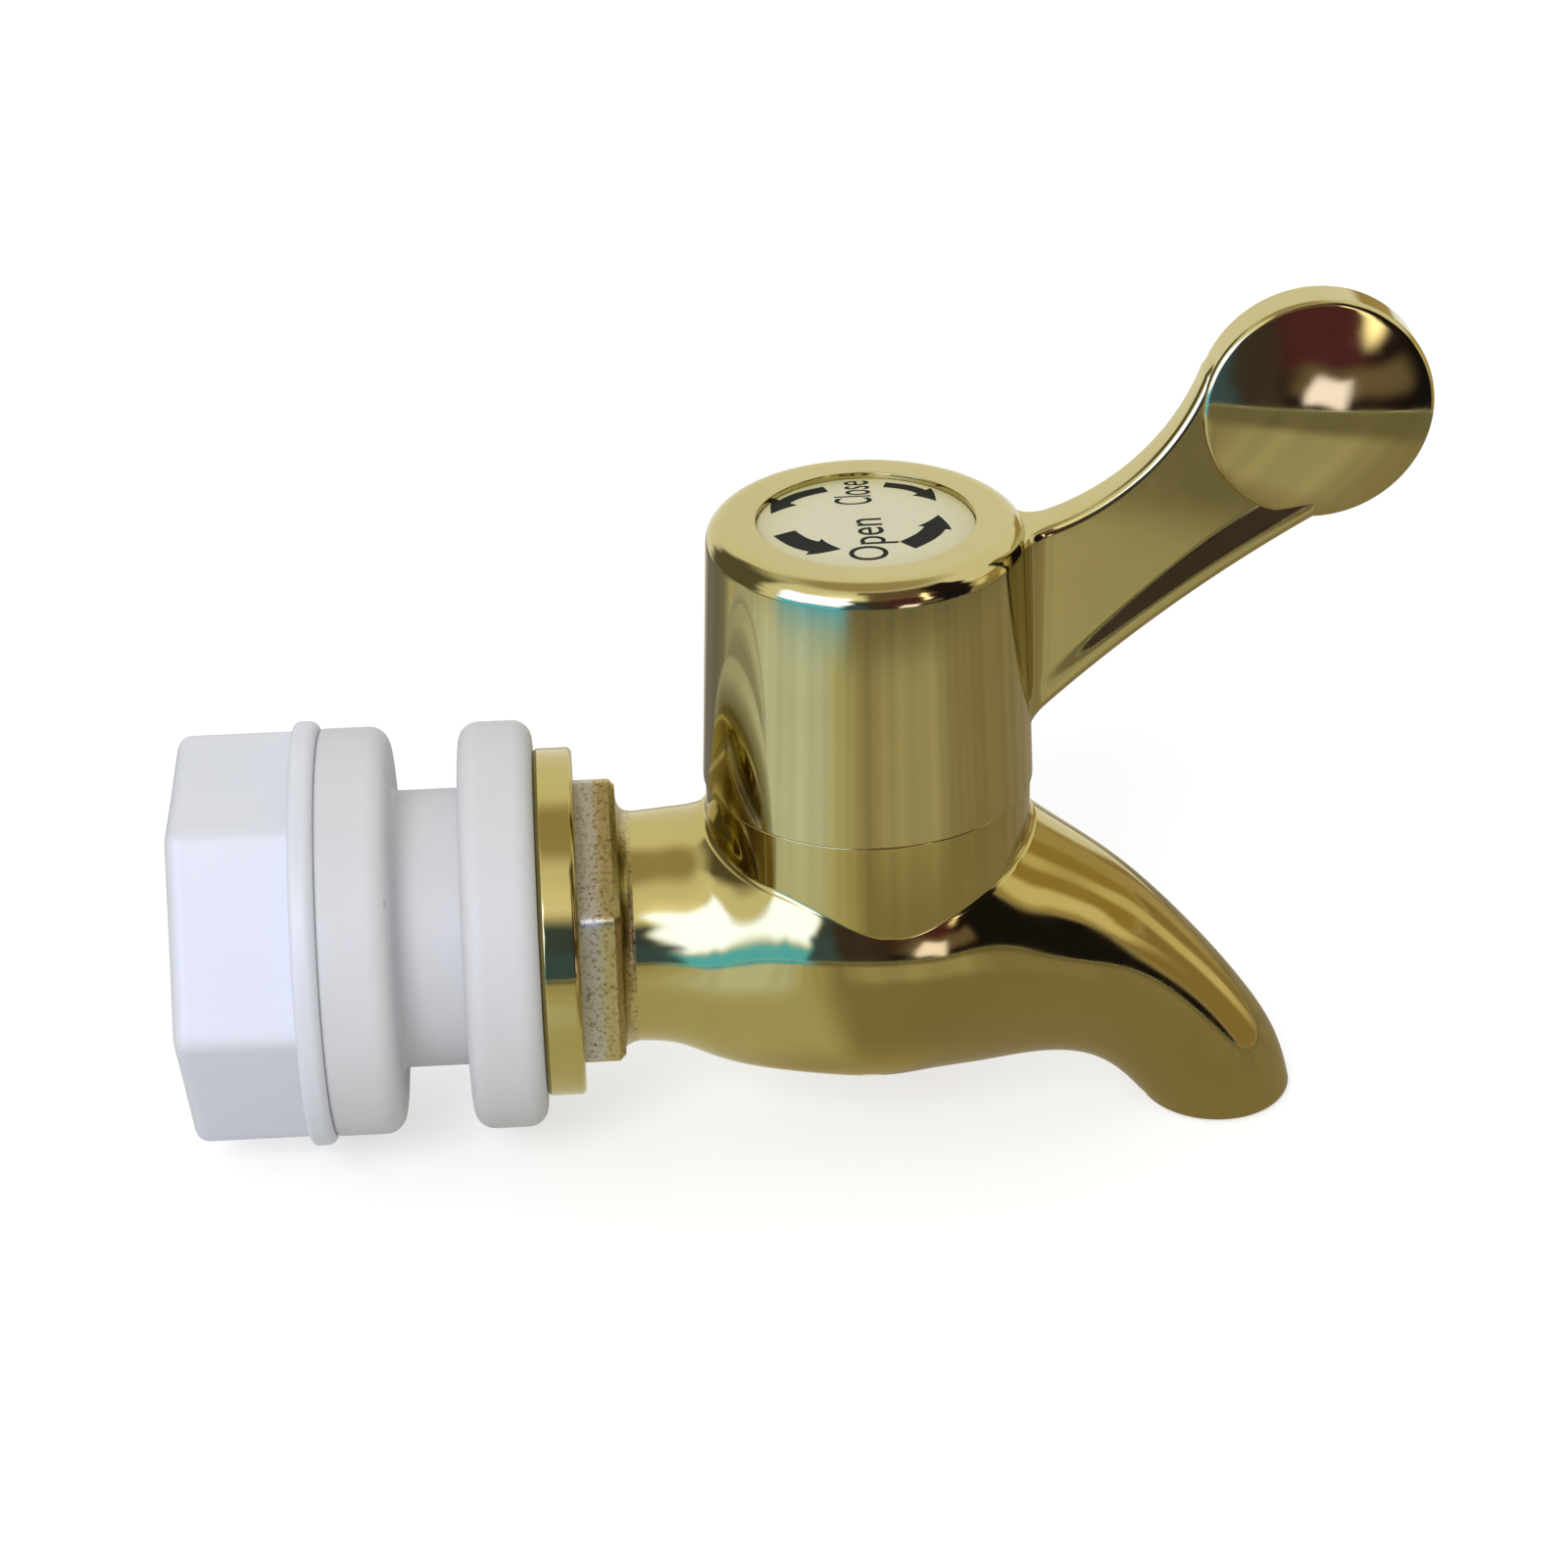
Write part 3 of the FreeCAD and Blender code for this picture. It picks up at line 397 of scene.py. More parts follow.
bodyGold = makeGoldPlated("goldPlatedAbsBody", plating["body"])
handleGold = makeGoldPlated("goldPlatedAbsHandle", plating["handle"])
mottled = makeGoldMottled()
polypropylene = makePolypropylene()
silicone = makeSilicone()
indexPlastic = makeIndexPlastic()
ink = makeInk()
brass = makeTurnedMetal("turnedBrass", "#d9b56a", "#b98f45", 0.35)
stainless = makeTurnedMetal("turnedStainless", "#c9c8c4", "#a9a8a5", 0.25)
nitrile = makeFineSolid("nitrileRubberMoulded", "#151515", "#242322", 0.6, 1.52, 0.5)
alumina = makeFineSolid("aluminaCeramicLapped", "#ece9e0", "#dedace", 0.16, 1.77, 0.4)
acetal = makeFineSolid("acetalMoulded", "#ecebe3", "#e2e0d6", 0.4, 1.48, 0.6)

innerFinish = {
    "handle_screw": stainless, "lock_washer": stainless, "spindle_clip": stainless,
    "spindle": brass, "bonnet": brass,
    "spindle_ring_lower": nitrile, "spindle_ring_upper": nitrile,
    "bonnet_ring": nitrile, "seat_seal": nitrile,
    "fixed_disc": alumina, "moving_disc": alumina,
    "thrust_washer": acetal, "stop_ring": acetal,
}
for nodeName, finish in innerFinish.items():
    nodes[nodeName].data.materials.clear()
    nodes[nodeName].data.materials.append(finish)
print("materials made")


# the housing: shank, flange, hexagon, neck, belly, spout and barrel

thread = {"crest": 10.4, "depth": 1.0, "pitch": 1.814, "clearance": 0.1, "rowsPerTurn": 9, "edge": 1.6}


def threadRadius(along, angle):
    # a helical thread: crest - depth * a rounded wave of (along / pitch - angle / one turn)
    wave = np.cos(2 * np.pi * along[:, None] / thread["pitch"] - angle[None])
    cut = 0.5 + 0.5 * np.tanh(thread["edge"] * wave) / math.tanh(thread["edge"])
    return thread["crest"] - thread["depth"] * cut


housing = {
    "boreRadius": 6.6, "boreEnd": 18.5, "boreRound": 0.6, "rear": -30.6, "rearRadius": 9.2,
    "entrySlope": 1.2,  # mm that the thread's crest gains over each mm from the rear end
    "runout": -1.6, "runoutRadius": 9.6,
    "flangeRadius": 15.7, "flangeWidth": 3.5, "flangeRound": 0.5,
    "hexagonFlats": 25.1, "hexagonEnd": 7.2, "hexagonChamfer": 0.55, "hexagonCove": 1.2,
    "hexagonRound": 0.12, "hexagonSink": 0.3, "hexagonBuried": 0.8,
    # stations along the neck, belly and spout: x, z, radius, and how far the way ahead points down,
    # degrees
    "way": [
        (3.5, -0.85, 10.55, 0), (9.4, -0.85, 10.45, 0), (12.0, -0.95, 10.75, 0), (15.2, -1.4, 11.65, 0),
        (21.2, 0, 14.4, 0), (29.8, 0, 15.35, 0), (36.0, -0.7, 14.5, 8), (42.2, -3.2, 12.1, 16),
        (48.0, -5.6, 9.9, 26), (53.7, -9.2, 7.9, 40), (58.6, -14.2, 7.05, 60), (61.1, -18.0, 7.0, 76),
        (62.0, -20.2, 7.0, 90),
    ],
    "lip": 0.7, "mouthRadius": 5.2, "mouthDepth": 3.5, "mouthRound": 0.3, "waterway": 4.5,
    "barrelFoot": 4.0, "barrelCore": 6.0, "barrelRadius": 14.45, "barrelTop": 14.3, "saddleRadius": 0.8,
    "collarRadius": 11.7, "collarTop": 24.0, "chamberRadius": 8.6, "chamberFoot": 12.0,
}


def wayGrid(way, angle):
    # circles about places on a way of rows (x, z, radius, degrees down): place + radius * (cos a * y +
    # sin a * n), where n stands square to the way. Gives the points and their directions away from the
    # way
    slope = np.radians(way[:, 3])
    upright = np.stack([np.sin(slope), 0 * slope, np.cos(slope)], 1)
    spoke = np.cos(angle)[None, :, None] * yAxis + np.sin(angle)[None, :, None] * upright[:, None]
    place = np.stack([way[:, 0], 0 * way[:, 0], way[:, 1]], 1)
    return place[:, None] + way[:, 2, None, None] * spoke, spoke


def housingShell():
    # one closed surface from the bottom of the inlet bore, out of the shank's end, back over its thread
    # and the flange, and along neck, belly and spout to the lip and up its mouth, all rows of circles
    h = housing
    angle = np.linspace(0, 2 * np.pi, 160, endpoint=False)
    inlet = withSupport(roundedProfile([
        (h["boreEnd"], h["boreRadius"], 0), (h["rear"], h["boreRadius"], h["boreRound"]),
        (h["rear"], h["rearRadius"], 0)]))
    turns = np.arange(h["rear"] + 0.05, h["runout"], thread["pitch"] / thread["rowsPerTurn"])
    entry = np.minimum(thread["crest"], h["rearRadius"] + h["entrySlope"] * (turns - h["rear"]))
    threaded = np.minimum(threadRadius(turns, angle), entry[:, None])
    flange = withSupport(roundedProfile([
        (h["runout"], h["runoutRadius"], 0), (0, h["runoutRadius"], 0),
        (0, h["flangeRadius"], h["flangeRound"]), (h["flangeWidth"], h["flangeRadius"], h["flangeRound"]),
        (h["flangeWidth"], h["way"][0][2], 0)]))
    way = smoothThrough(h["way"], 150)
    bow = np.linspace(0, 1, 8) * np.pi / 2
    lipRadius = way[-1, 2] - h["lip"] * (1 - np.cos(bow))
    backRound = h["mouthRadius"] + h["mouthRound"] * (1 - np.sin(bow))
    mouth = np.array([
        (h["lip"] - 2 * h["mouthRound"], h["mouthRadius"]), (h["lip"] - h["mouthDepth"], h["mouthRadius"]),
        (h["lip"] - h["mouthDepth"], h["waterway"])])
    ahead = np.r_[np.sin(bow) * h["lip"], h["lip"] - h["mouthRound"] * (1 - np.cos(bow)), mouth[:, 0]]
    mouthRadius = np.r_[lipRadius, backRound, mouth[:, 1]]
    inward = way[::-1][12:60]  # the waterway goes back up inside the spout, past the mouth's depth
    straight = np.concatenate([inlet[:, 0], turns, flange[:, 0]])
    level = 0 * straight
    rows = np.vstack([
        np.stack([straight, level, level, level], 1), way,
        np.stack([0 * ahead + way[-1, 0], way[-1, 1] - ahead, mouthRadius, 0 * ahead + 90], 1),
        inward * (1, 1, 0, 1) + (0, 0, h["waterway"], 0)])
    grid, spoke = wayGrid(rows, angle)
    spread = np.ones((1, len(angle)))
    radius = np.vstack([inlet[:, 1:] * spread, threaded, flange[:, 1:] * spread])
    grid[:len(straight)] += radius[..., None] * spoke[:len(straight)]
    return shellOf(grid)


def hexagonShell():
    # the wrench hexagon: each row is the polar hexagon of its own apothem, which turns into a circle
    # about the neck's lower middle in the cove, and the ring's inside is buried in the neck
    h = housing
    angle = np.linspace(0, 2 * np.pi, 360, endpoint=False)
    apothem, neck, end, cove = h["hexagonFlats"] / 2, h["way"][1][2], h["hexagonEnd"], h["hexagonCove"]
    foot, buried = h["flangeWidth"] - h["hexagonSink"], neck - h["hexagonBuried"]
    rim = withSupport(roundedProfile([
        (foot, apothem, 0), (end - h["hexagonChamfer"], apothem, h["hexagonRound"]),
        (end, apothem - h["hexagonChamfer"], h["hexagonRound"]), (end, neck, cove * 0.95),
        (end + cove, neck, 0), (end + cove, buried, 0), (foot, buried, 0)], 7), 0.08)
    isHexagon = ease((rim[:, 1:] - neck) / (apothem - h["hexagonChamfer"] - neck))
    radius = rim[:, 1:] * (1 + isHexagon * (hexRadius(angle, 1.0, 70, 0.0)[None] - 1))
    grid = roundAxis(rim, (0, 0, 0), xAxis, yAxis, zAxis, len(angle), radius)
    grid[..., 2] += h["way"][1][1] * (1 - isHexagon)
    return shellOf(grid, True)


def barrelShell():
    # the barrel stands in the belly, with the saddle's cove over their seam; its collar carries the cap
    h = housing
    return roundHandleAxis(withSupport(roundedProfile([
        (h["barrelFoot"], h["barrelCore"], 0), (h["barrelFoot"], h["barrelRadius"], 0),
        (h["barrelTop"], h["barrelRadius"], 0.1), (h["barrelTop"], h["collarRadius"], 0),
        (h["collarTop"], h["collarRadius"], 0.4), (h["collarTop"], h["chamberRadius"], 0.3),
        (h["chamberFoot"], h["chamberRadius"], 0)])))


def saddleShell():
    # the cove where the barrel meets the belly. Where a line along the belly crosses the barrel's
    # cylinder gives the seam; e is square to the barrel there and n to the belly. A ball of radius r
    # touches both from seam + r (e + n) / (1 + e.n), and the cove is that middle less r times a direction
    # that swings from e to n
    h = housing
    radius = h["saddleRadius"]
    points, spokes = wayGrid(smoothThrough(h["way"], 400), np.linspace(0.02, np.pi - 0.02, 400))
    beyond = np.hypot(points[..., 0] - barrelX, points[..., 1]) - h["barrelRadius"]
    row, column = np.nonzero(np.diff(np.sign(beyond), axis=0))
    share = (beyond[row, column] / (beyond[row, column] - beyond[row + 1, column]))[:, None]
    seam = points[row, column] + share * (points[row + 1, column] - points[row, column])
    turn = np.arctan2(seam[:, 1], seam[:, 0] - barrelX)
    order = np.argsort(turn)
    around = np.linspace(-np.pi, np.pi, 240, endpoint=False)
    level = np.interp(around, turn[order], seam[order, 2], period=2 * np.pi)
    upwards = np.stack([np.interp(around, turn[order], part[order], period=2 * np.pi)
                        for part in spokes[row, column].T], 1)
    outwards = np.stack([np.cos(around), np.sin(around), 0 * around], 1)
    corner = barrelX * xAxis + outwards * h["barrelRadius"] + level[:, None] * zAxis
    middle = corner + radius * (outwards + upwards) / (1 + (outwards * upwards).sum(1, keepdims=True))
    swing = np.linspace(0, 1, 9)[:, None, None]
    way = (1 - swing) * outwards + swing * upwards
    cove = middle - radius * way / np.linalg.norm(way, axis=-1, keepdims=True)
    buried = corner - 0.15 * (outwards + upwards)  # the ring's fourth side, out of sight in both solids
    return shellOf(np.concatenate([cove, buried[None]]), True)


makePiece("housing_shell", [(housingShell(), bodyGold), (hexagonShell(), mottled),
                            (barrelShell(), bodyGold), (saddleShell(), bodyGold)],
          "tap_body", ["housing"])


# the handle: cap, lever and thumb disc

cap = {
    "foot": 14.4, "top": 38.8, "footRadius": 14.66, "topRadius": 13.8, "shoulder": 2.0,
    "recessRadius": 9.5, "recessFloor": 37.95, "deck": 35.15, "hollowRadius": 11.6, "hollowFoot": 12.0,
    "bossRadius": 6.6, "bossFoot": 31.25,
}

lever = {
    # the plate's upper and lower edge from the cap to the thumb disc: x from the handle's axis, z
    "upper": [(13.6, 37.6), (23.3, 42.8), (28.8, 51.4)],
    "lower": [(14.4, 19.6), (25.9, 29.45), (38.8, 38.1)],
    "buriedUpper": [(29.7, 52.6), (31.2, 53.4)],
    "buriedLower": [(39.2, 39.0), (39.2, 40.4)],
    "halfAtCap": 2.3, "halfAtDisc": 2.3,
    "upperRound": 0.8, "lowerRound": 0.9,
    "lipWidth": 1.3, "lipStep": 2.4, "scoopAtCap": 0.1, "scoopAtDisc": 0.62,
    "filletTop": 3.2, "filletFoot": 1.6,
}

thumb = {"x": 68.3, "z": 47.9, "radius": 10.0, "edge": 0.65, "rimHalf": 2.05, "dome": 1.25}


def capShell():
    # turned about the handle's axis, from the middle of the hollow's boss down inside, up the tapered
    # wall, over the round shoulder and the flat ring, and down into the recess for the index disc
    c = cap
    profile = withSupport(roundedProfile([
        (c["bossFoot"], 1.0, 0), (c["bossFoot"], c["bossRadius"], 0.3), (c["deck"], c["bossRadius"], 0.3),
        (c["deck"], c["hollowRadius"], 0.5), (c["foot"], c["hollowFoot"], 0.2), (c["foot"], c["footRadius"], 0.12),
        (c["top"], c["topRadius"], c["shoulder"]), (c["top"], c["recessRadius"], 0.12),
        (c["recessFloor"], c["recessRadius"], 0), (c["recessFloor"], 1.0, 0)], 13))
    return roundHandleAxis(profile)


def leverShell():
    # the plate runs between its upper and lower edge, both arcs. A point lies a millimetres below the
    # upper edge, and half as thick as: the plate's half thickness, less a quarter round at both edges,
    # less the web's drop above the lower lip, which deepens towards the disc, plus the cove to the cap, R
    # - sqrt(R^2 - d^2) at d millimetres from where the cove starts
    v = lever
    share = np.linspace(-0.09, 1, 90)
    upper = np.vstack([arcThrough(*v["upper"], share), v["buriedUpper"]])
    lower = np.vstack([arcThrough(*v["lower"], share), v["buriedLower"]])
    along = np.r_[share, 1.05, 1.12][:, None]
    length = np.linalg.norm(lower - upper, axis=1)[:, None]
    bow = np.linspace(0, np.pi / 2, 9)
    fromTop = np.r_[v["upperRound"] * (1 - np.cos(bow)), np.linspace(v["upperRound"] + 0.1, 4.0, 18)]
    fromFoot = np.r_[np.linspace(6.5, v["lowerRound"] + 0.1, 26), v["lowerRound"] * (1 - np.cos(bow[::-1]))]
    web = np.linspace(0, 1, 16)[1:-1]
    down = np.hstack([
        fromTop + 0 * length, 4.0 + web * (length - 10.5), length - fromFoot])
    half = v["halfAtCap"] + (v["halfAtDisc"] - v["halfAtCap"]) * np.clip(along, 0, 1)
    topGap = v["upperRound"] - np.clip(down, 0, v["upperRound"])
    footGap = v["lowerRound"] - np.clip(length - down, 0, v["lowerRound"])
    rounding = v["upperRound"] - np.sqrt(v["upperRound"] ** 2 - topGap ** 2)
    rounding = rounding + v["lowerRound"] - np.sqrt(v["lowerRound"] ** 2 - footGap ** 2)
    inWeb = ease((length - down - v["lipWidth"]) / v["lipStep"])
    scoop = v["scoopAtCap"] + (v["scoopAtDisc"] - v["scoopAtCap"]) * np.clip(along, 0, 1)
    x = upper[:, :1] + (lower[:, :1] - upper[:, :1]) * down / length
    z = upper[:, 1:] + (lower[:, 1:] - upper[:, 1:]) * down / length
    wall = cap["footRadius"] + (cap["topRadius"] - cap["footRadius"]) * (z - cap["foot"]) / (
        cap["top"] - cap["foot"])
    fillet = v["filletTop"] + (v["filletFoot"] - v["filletTop"]) * down / length
    start = np.sqrt((wall + fillet) ** 2 - (half + fillet) ** 2)
    reach = np.clip(start - x, 0, start * fillet / (wall + fillet))
    cove = fillet - np.sqrt(fillet ** 2 - reach ** 2)
    out = half - rounding - scoop * inWeb + cove
    side = np.stack([x + barrelX, out, z], -1)
    other = side * (1, -1, 1)
    ridge = side[:, [0, -1]] * (1, 0, 1)
    grid = np.hstack([ridge[:, :1], side, ridge[:, 1:], other[:, ::-1]])
    return shellOf(grid)


def thumbShell():
    # a lens with a rim, turned about its own cross axis: the face bulges by dome * (1 - s^2), and a round
    # joins it to the rim
    t = thumb
    share = np.linspace(0.02, 1, 26)
    tilt = math.atan(2 * t["dome"] / (t["radius"] - t["edge"]))
    faceRadius = t["radius"] - t["edge"] + t["edge"] * math.sin(tilt)
    face = np.stack([t["rimHalf"] + t["dome"] * (1 - share ** 2), faceRadius * share], 1)
    turn = np.linspace(tilt, np.pi / 2, 9)[1:]
    edge = np.stack([t["rimHalf"] + t["edge"] * (np.cos(turn) - math.cos(tilt)),
                     t["radius"] - t["edge"] + t["edge"] * np.sin(turn)], 1)
    half = np.vstack([face, edge])
    profile = withSupport(np.vstack([half, half[::-1] * (-1, 1)]))
    return shellOf(roundAxis(profile, (t["x"], 0, t["z"]), yAxis, zAxis, xAxis, 160))


makePiece("handle_shell", [(capShell(), handleGold), (leverShell(), handleGold), (thumbShell(), handleGold)],
          "lever", ["handle"])


# the index disc with its printed words and arrows

index = {
    "radius": 9.46, "floor": 37.95, "face": 38.25, "inkRise": 0.02,
    # each word: its height over all, its length, and where its middle lies from the handle's axis
    "words": [("Open", 4.4, 8.2, 0.3, -3.0), ("Close", 3.3, 4.8, -0.7, 6.5)],
    # each arrow: its tail and its tip from the handle's axis, how far it bows out, and half the width of
    # shaft and head
    "arrows": [
        ((-7.1, -1.1), (-2.5, -4.7), 0.9, 1.05, 1.7), ((3.2, -4.5), (6.4, 1.2), 0.8, 0.95, 1.5),
        ((2.3, 7.9), (6.5, 4.1), 0.8, 0.5, 1.1), ((-2.9, 7.5), (-8.0, 2.9), 0.9, 0.55, 1.3),
    ],
    "headShare": 0.38,
}


def indexShell():
    # a thin turned disc with a softened edge
    i = index
    profile = withSupport(roundedProfile([
        (i["floor"], 1.0, 0), (i["floor"], i["radius"], 0.05), (i["face"], i["radius"], 0.06), (i["face"], 1.0, 0)]))
    return roundHandleAxis(profile, 160)


def arrowShell(tail, tip, bow, shaftHalf, headHalf):
    # a flat bent arrow: its middle line is tail + share * way + bow * sin(pi * share) to the outside, and
    # its half width is the shaft's, then jumps to the head's and falls evenly to nothing at the tip
    i = index
    share = np.r_[np.linspace(0, 1 - i["headShare"], 20), np.linspace(1 - i["headShare"] + 0.002, 0.995, 14)]
    isHead = share > 1 - i["headShare"] + 0.001
    half = np.where(isHead, headHalf * (1 - share) / i["headShare"], shaftHalf)
    tail, way = np.array(tail), np.subtract(tip, tail)
    across = np.array([way[1], -way[0]]) / np.linalg.norm(way)
    across = across * np.sign(across @ (tail + way / 2))
    line = tail + share[:, None] * way + bow * np.sin(np.pi * share)[:, None] * across
    ahead = np.gradient(line, share, axis=0)
    side = np.stack([ahead[:, 1], -ahead[:, 0]], 1) / np.linalg.norm(ahead, axis=1, keepdims=True)
    out = half[:, None] * np.array([1, 1, -1, -1])
    flat = line[:, None] + out[..., None] * side[:, None]
    height = np.array([i["face"] + i["inkRise"], i["face"] - 0.05])
    level = np.broadcast_to(height[[0, 1, 1, 0]], out.shape)
    return shellOf(np.concatenate([flat + (barrelX, 0), level[..., None]], -1))


def wordShell(word, height, length, middleX, middleY):
    # a word in the plain built-in face, made a mesh, then scaled to its height and length, turned a
    # quarter so that it reads from the front to the back, and laid on the disc
    curve = bpy.data.curves.new(word, "FONT")
    curve.body = word
    curve.extrude = 0.03
    carrier = bpy.data.objects.new(word, curve)
    mesh = bpy.data.meshes.new_from_object(carrier)
    points = np.zeros(len(mesh.vertices) * 3)
    mesh.vertices.foreach_get("co", points)
    points = points.reshape(-1, 3)
    mesh.calc_loop_triangles()
    triangles = np.zeros(len(mesh.loop_triangles) * 3, np.int32)
    mesh.loop_triangles.foreach_get("vertices", triangles)
    bpy.data.objects.remove(carrier)
    low, high = points.min(0), points.max(0)
    flat = (points - (low + high) / 2) / (high - low) * (length, height, 0.05)
    laid = np.stack([barrelX + middleX - flat[:, 1], middleY + flat[:, 0],
                     index["face"] + index["inkRise"] - 0.025 + flat[:, 2]], 1)
    return laid, np.zeros((0, 4), int), triangles.reshape(-1, 3)


makePiece("index_face", [(indexShell(), indexPlastic)], "lever", ["index_disc"])
arrowShells = [(arrowShell(*ends), ink) for ends in index["arrows"]]
wordShells = [(wordShell(*word), ink) for word in index["words"]]
makePiece("index_print", arrowShells + wordShells, "lever", sharp=30)


# the washers and the lock nut

washers = {
    "radius": 18.36, "hole": 10.7, "edge": 1.8, "nutEdge": 0.5,
    "outerRear": -6.6, "innerRear": -19.0, "innerFront": -12.8, "sleeveRadius": 12.5,
}

nut = {
    "front": -19.0, "beadRear": -21.2, "rear": -31.8, "beadRadius": 19.1, "flats": 32.0, "softness": 60,
    "chamferDepth": 1.3,
}


def outerWasherShell():
    # a ring turned about the shank's axis, rounded at its rim
    w = washers
    profile = withSupport(roundedProfile([
        (0, w["hole"], 0.3), (0, w["radius"], w["edge"]), (w["outerRear"], w["radius"], w["edge"]),
        (w["outerRear"], w["hole"], 0.3), (0, w["hole"] + 0.01, 0)]))
    return shellOf(roundAxis(profile, (0, 0, 0), xAxis, yAxis, zAxis, 200), True)


def innerWasherShell():
    # the washer and its sleeve in one ring, with a small hollow round where they meet
    w = washers
    profile = withSupport(roundedProfile([
        (w["outerRear"], w["hole"], 0), (w["outerRear"], w["sleeveRadius"], 0.2),
        (w["innerFront"], w["sleeveRadius"], 0.5),
        (w["innerFront"], w["radius"], w["edge"]), (w["innerRear"], w["radius"], w["nutEdge"]),
        (w["innerRear"], w["hole"], 0.3), (w["outerRear"], w["hole"] + 0.01, 0)]))
    return shellOf(roundAxis(profile, (0, 0, 0), xAxis, yAxis, zAxis, 200), True)


def nutShell():
    # one closed ring: bead and faces are circles, the body is the polar hexagon held below a cone at the
    # rear, and the bore repeats the shank's thread with its clearance
    n = nut
    angle = np.linspace(0, 2 * np.pi, 240, endpoint=False)
    spread = np.ones((1, len(angle)))
    bead = withSupport(roundedProfile([
        (n["front"], 10.6, 0), (n["front"], 16.6, 0), (n["front"], n["beadRadius"], 0.9),
        (n["beadRear"], n["beadRadius"], 0.55), (n["beadRear"], 18.5, 0)]))
    body = np.linspace(n["beadRear"] - 0.02, n["rear"], 44)
    hexagon = hexRadius(angle, n["flats"] / 2, n["softness"], 90.0)[None] * np.ones((len(body), 1))
    rearGap = np.clip((n["chamferDepth"] - (body - n["rear"])) / n["chamferDepth"], 0, 1)[:, None]
    inset = hexagon - n["chamferDepth"] * (1 - np.sqrt(1 - rearGap ** 2 * 0.98))
    face = np.array([(n["rear"], 0.985), (n["rear"], 0.94)])
    faceRows = face[:, 1:] * inset[-1:]
    bore = np.arange(n["rear"] + 0.02, n["front"], thread["pitch"] / thread["rowsPerTurn"])
    cut = threadRadius(bore, angle) + thread["clearance"]
    mouthRadius = np.maximum(cut, 10.9 - 1.2 * (bore - n["rear"])[:, None])
    rearInner = np.full((1, len(angle)), 11.0)
    along = np.r_[bead[:, 0], body, face[:, 0], n["rear"], bore]
    radius = np.vstack([bead[:, 1:] * spread, inset, faceRows, rearInner, mouthRadius])
    return shellOf(roundAxis(along[:, None], (0, 0, 0), xAxis, yAxis, zAxis, len(angle), radius), True)


makePiece("outer_washer_ring", [(outerWasherShell(), silicone)], "tap_body", ["outer_washer"])
makePiece("inner_washer_sleeve", [(innerWasherShell(), silicone)], "tap_body", ["inner_washer"])
makePiece("lock_nut_body", [(nutShell(), polypropylene)], "tap_body", ["lock_nut"])


# the stage: floor, room, lamps, world and camera

stage = {
    "lowest": -20.95,  # the spout's lip stands on the floor
    "floorShade": "#d4d4d4", "floorGlow": 0.56,
    "worldGlow": 0.59,
    "roomReach": 190, "tableReach": 188,
}

# what the polished metal mirrors, each later row painted over the earlier ones: bearing span in degrees
# (0 lies on the camera's side and grows to the right), height span in degrees, the softness of both,
# colour, strength
roomCards = [
    ((-300, 300), (-99, 199), 1, 1, "#fffdf6", 1.0),  # pale walls
    ((-135, -80), (-30, 60), 12, 30, "#6a6558", 1.0),  # a dim wall on the left
    ((-12, 71), (-30, 64), 5, 12, "#2a1d26", 1.0),  # the dark room in front
    ((-15, -4), (-30, 30), 6, 6, "#45566f", 1.0),  # a grey cabinet in it
    ((-6, 11), (-30, 50), 5, 8, "#4a4146", 1.0),  # a brown one
    ((-12, 42), (30, 64), 8, 10, "#7a6659", 1.0),  # brown above
    ((10, 36), (6, 32), 9, 6, "#5f3343", 1.0),  # a maroon curtain
    ((14, 48), (-2, 7), 8, 5, "#827268", 1.0),  # a beige shelf
    ((47, 68), (-30, 24), 5, 8, "#1e1b24", 1.0),  # its black corner
    ((71, 140), (-30, 12), 4, 3, "#a8926c", 1.0),  # a tan wall on the right
    ((71, 150), (12, 28), 4, 3, "#b79f66", 1.0),
    ((74, 83), (7, 25), 4, 8, "#fff7dc", 1.0),  # three light strips on it
    ((97, 108), (-4, 25), 4, 10, "#f0e6c3", 1.0),
    ((120, 134), (-4, 25), 4, 10, "#c8b890", 1.0),
    ((-300, 300), (68, 199), 1, 16, "#bdae95", 1.0),  # the ceiling
    ((-70, -5), (30, 54), 8, 14, "#fffaf4", 1.1),  # haze above the window
    ((-64, -16), (5, 40), 6, 9, "#a3b3ff", 5.4),  # the window
    ((-66, -13), (-30, 3), 6, 6, "#52b0ff", 1.9),  # its blue sill
    ((-21, -4), (-30, 10), 7, 6, "#4a6488", 1.0),  # the cabinet's end before the window
    ((19, 30), (-5, 4), 3, 2, "#d6cdff", 2.6),  # a lamp
    ((34, 38), (14, 42), 3, 8, "#fff0e4", 2.8),  # a streak of light on the curtain
]

# the table under the tap in the same way, with the distance in mm from the barrel in place of the height
tableCards = [
    ((-300, 300), (-90, 300), 1, 1, "#cdc6b0", 1.0),  # pale at the back
    ((-95, 152), (-90, 300), 14, 1, "#a19680", 1.0),  # tan cloth
    ((0, 48), (70, 150), 24, 24, "#c0baa6", 1.0),  # lit in front
    ((-158, -108), (-90, 300), 16, 1, "#807e7c", 1.0),  # grey at the back left
    ((-116, -12), (-90, 150), 20, 20, "#d2cfb8", 1.0),
    ((-84, -30), (52, 148), 14, 30, "#e6f0ff", 1.0),  # the window's glare
    ((-96, 40), (-90, 14), 24, 14, "#b0a279", 1.0),
    ((-20, 200), (140, 300), 14, 24, "#86806f", 1.0),
    ((-68, -18), (146, 300), 12, 24, "#52b0ff", 1.6),
]


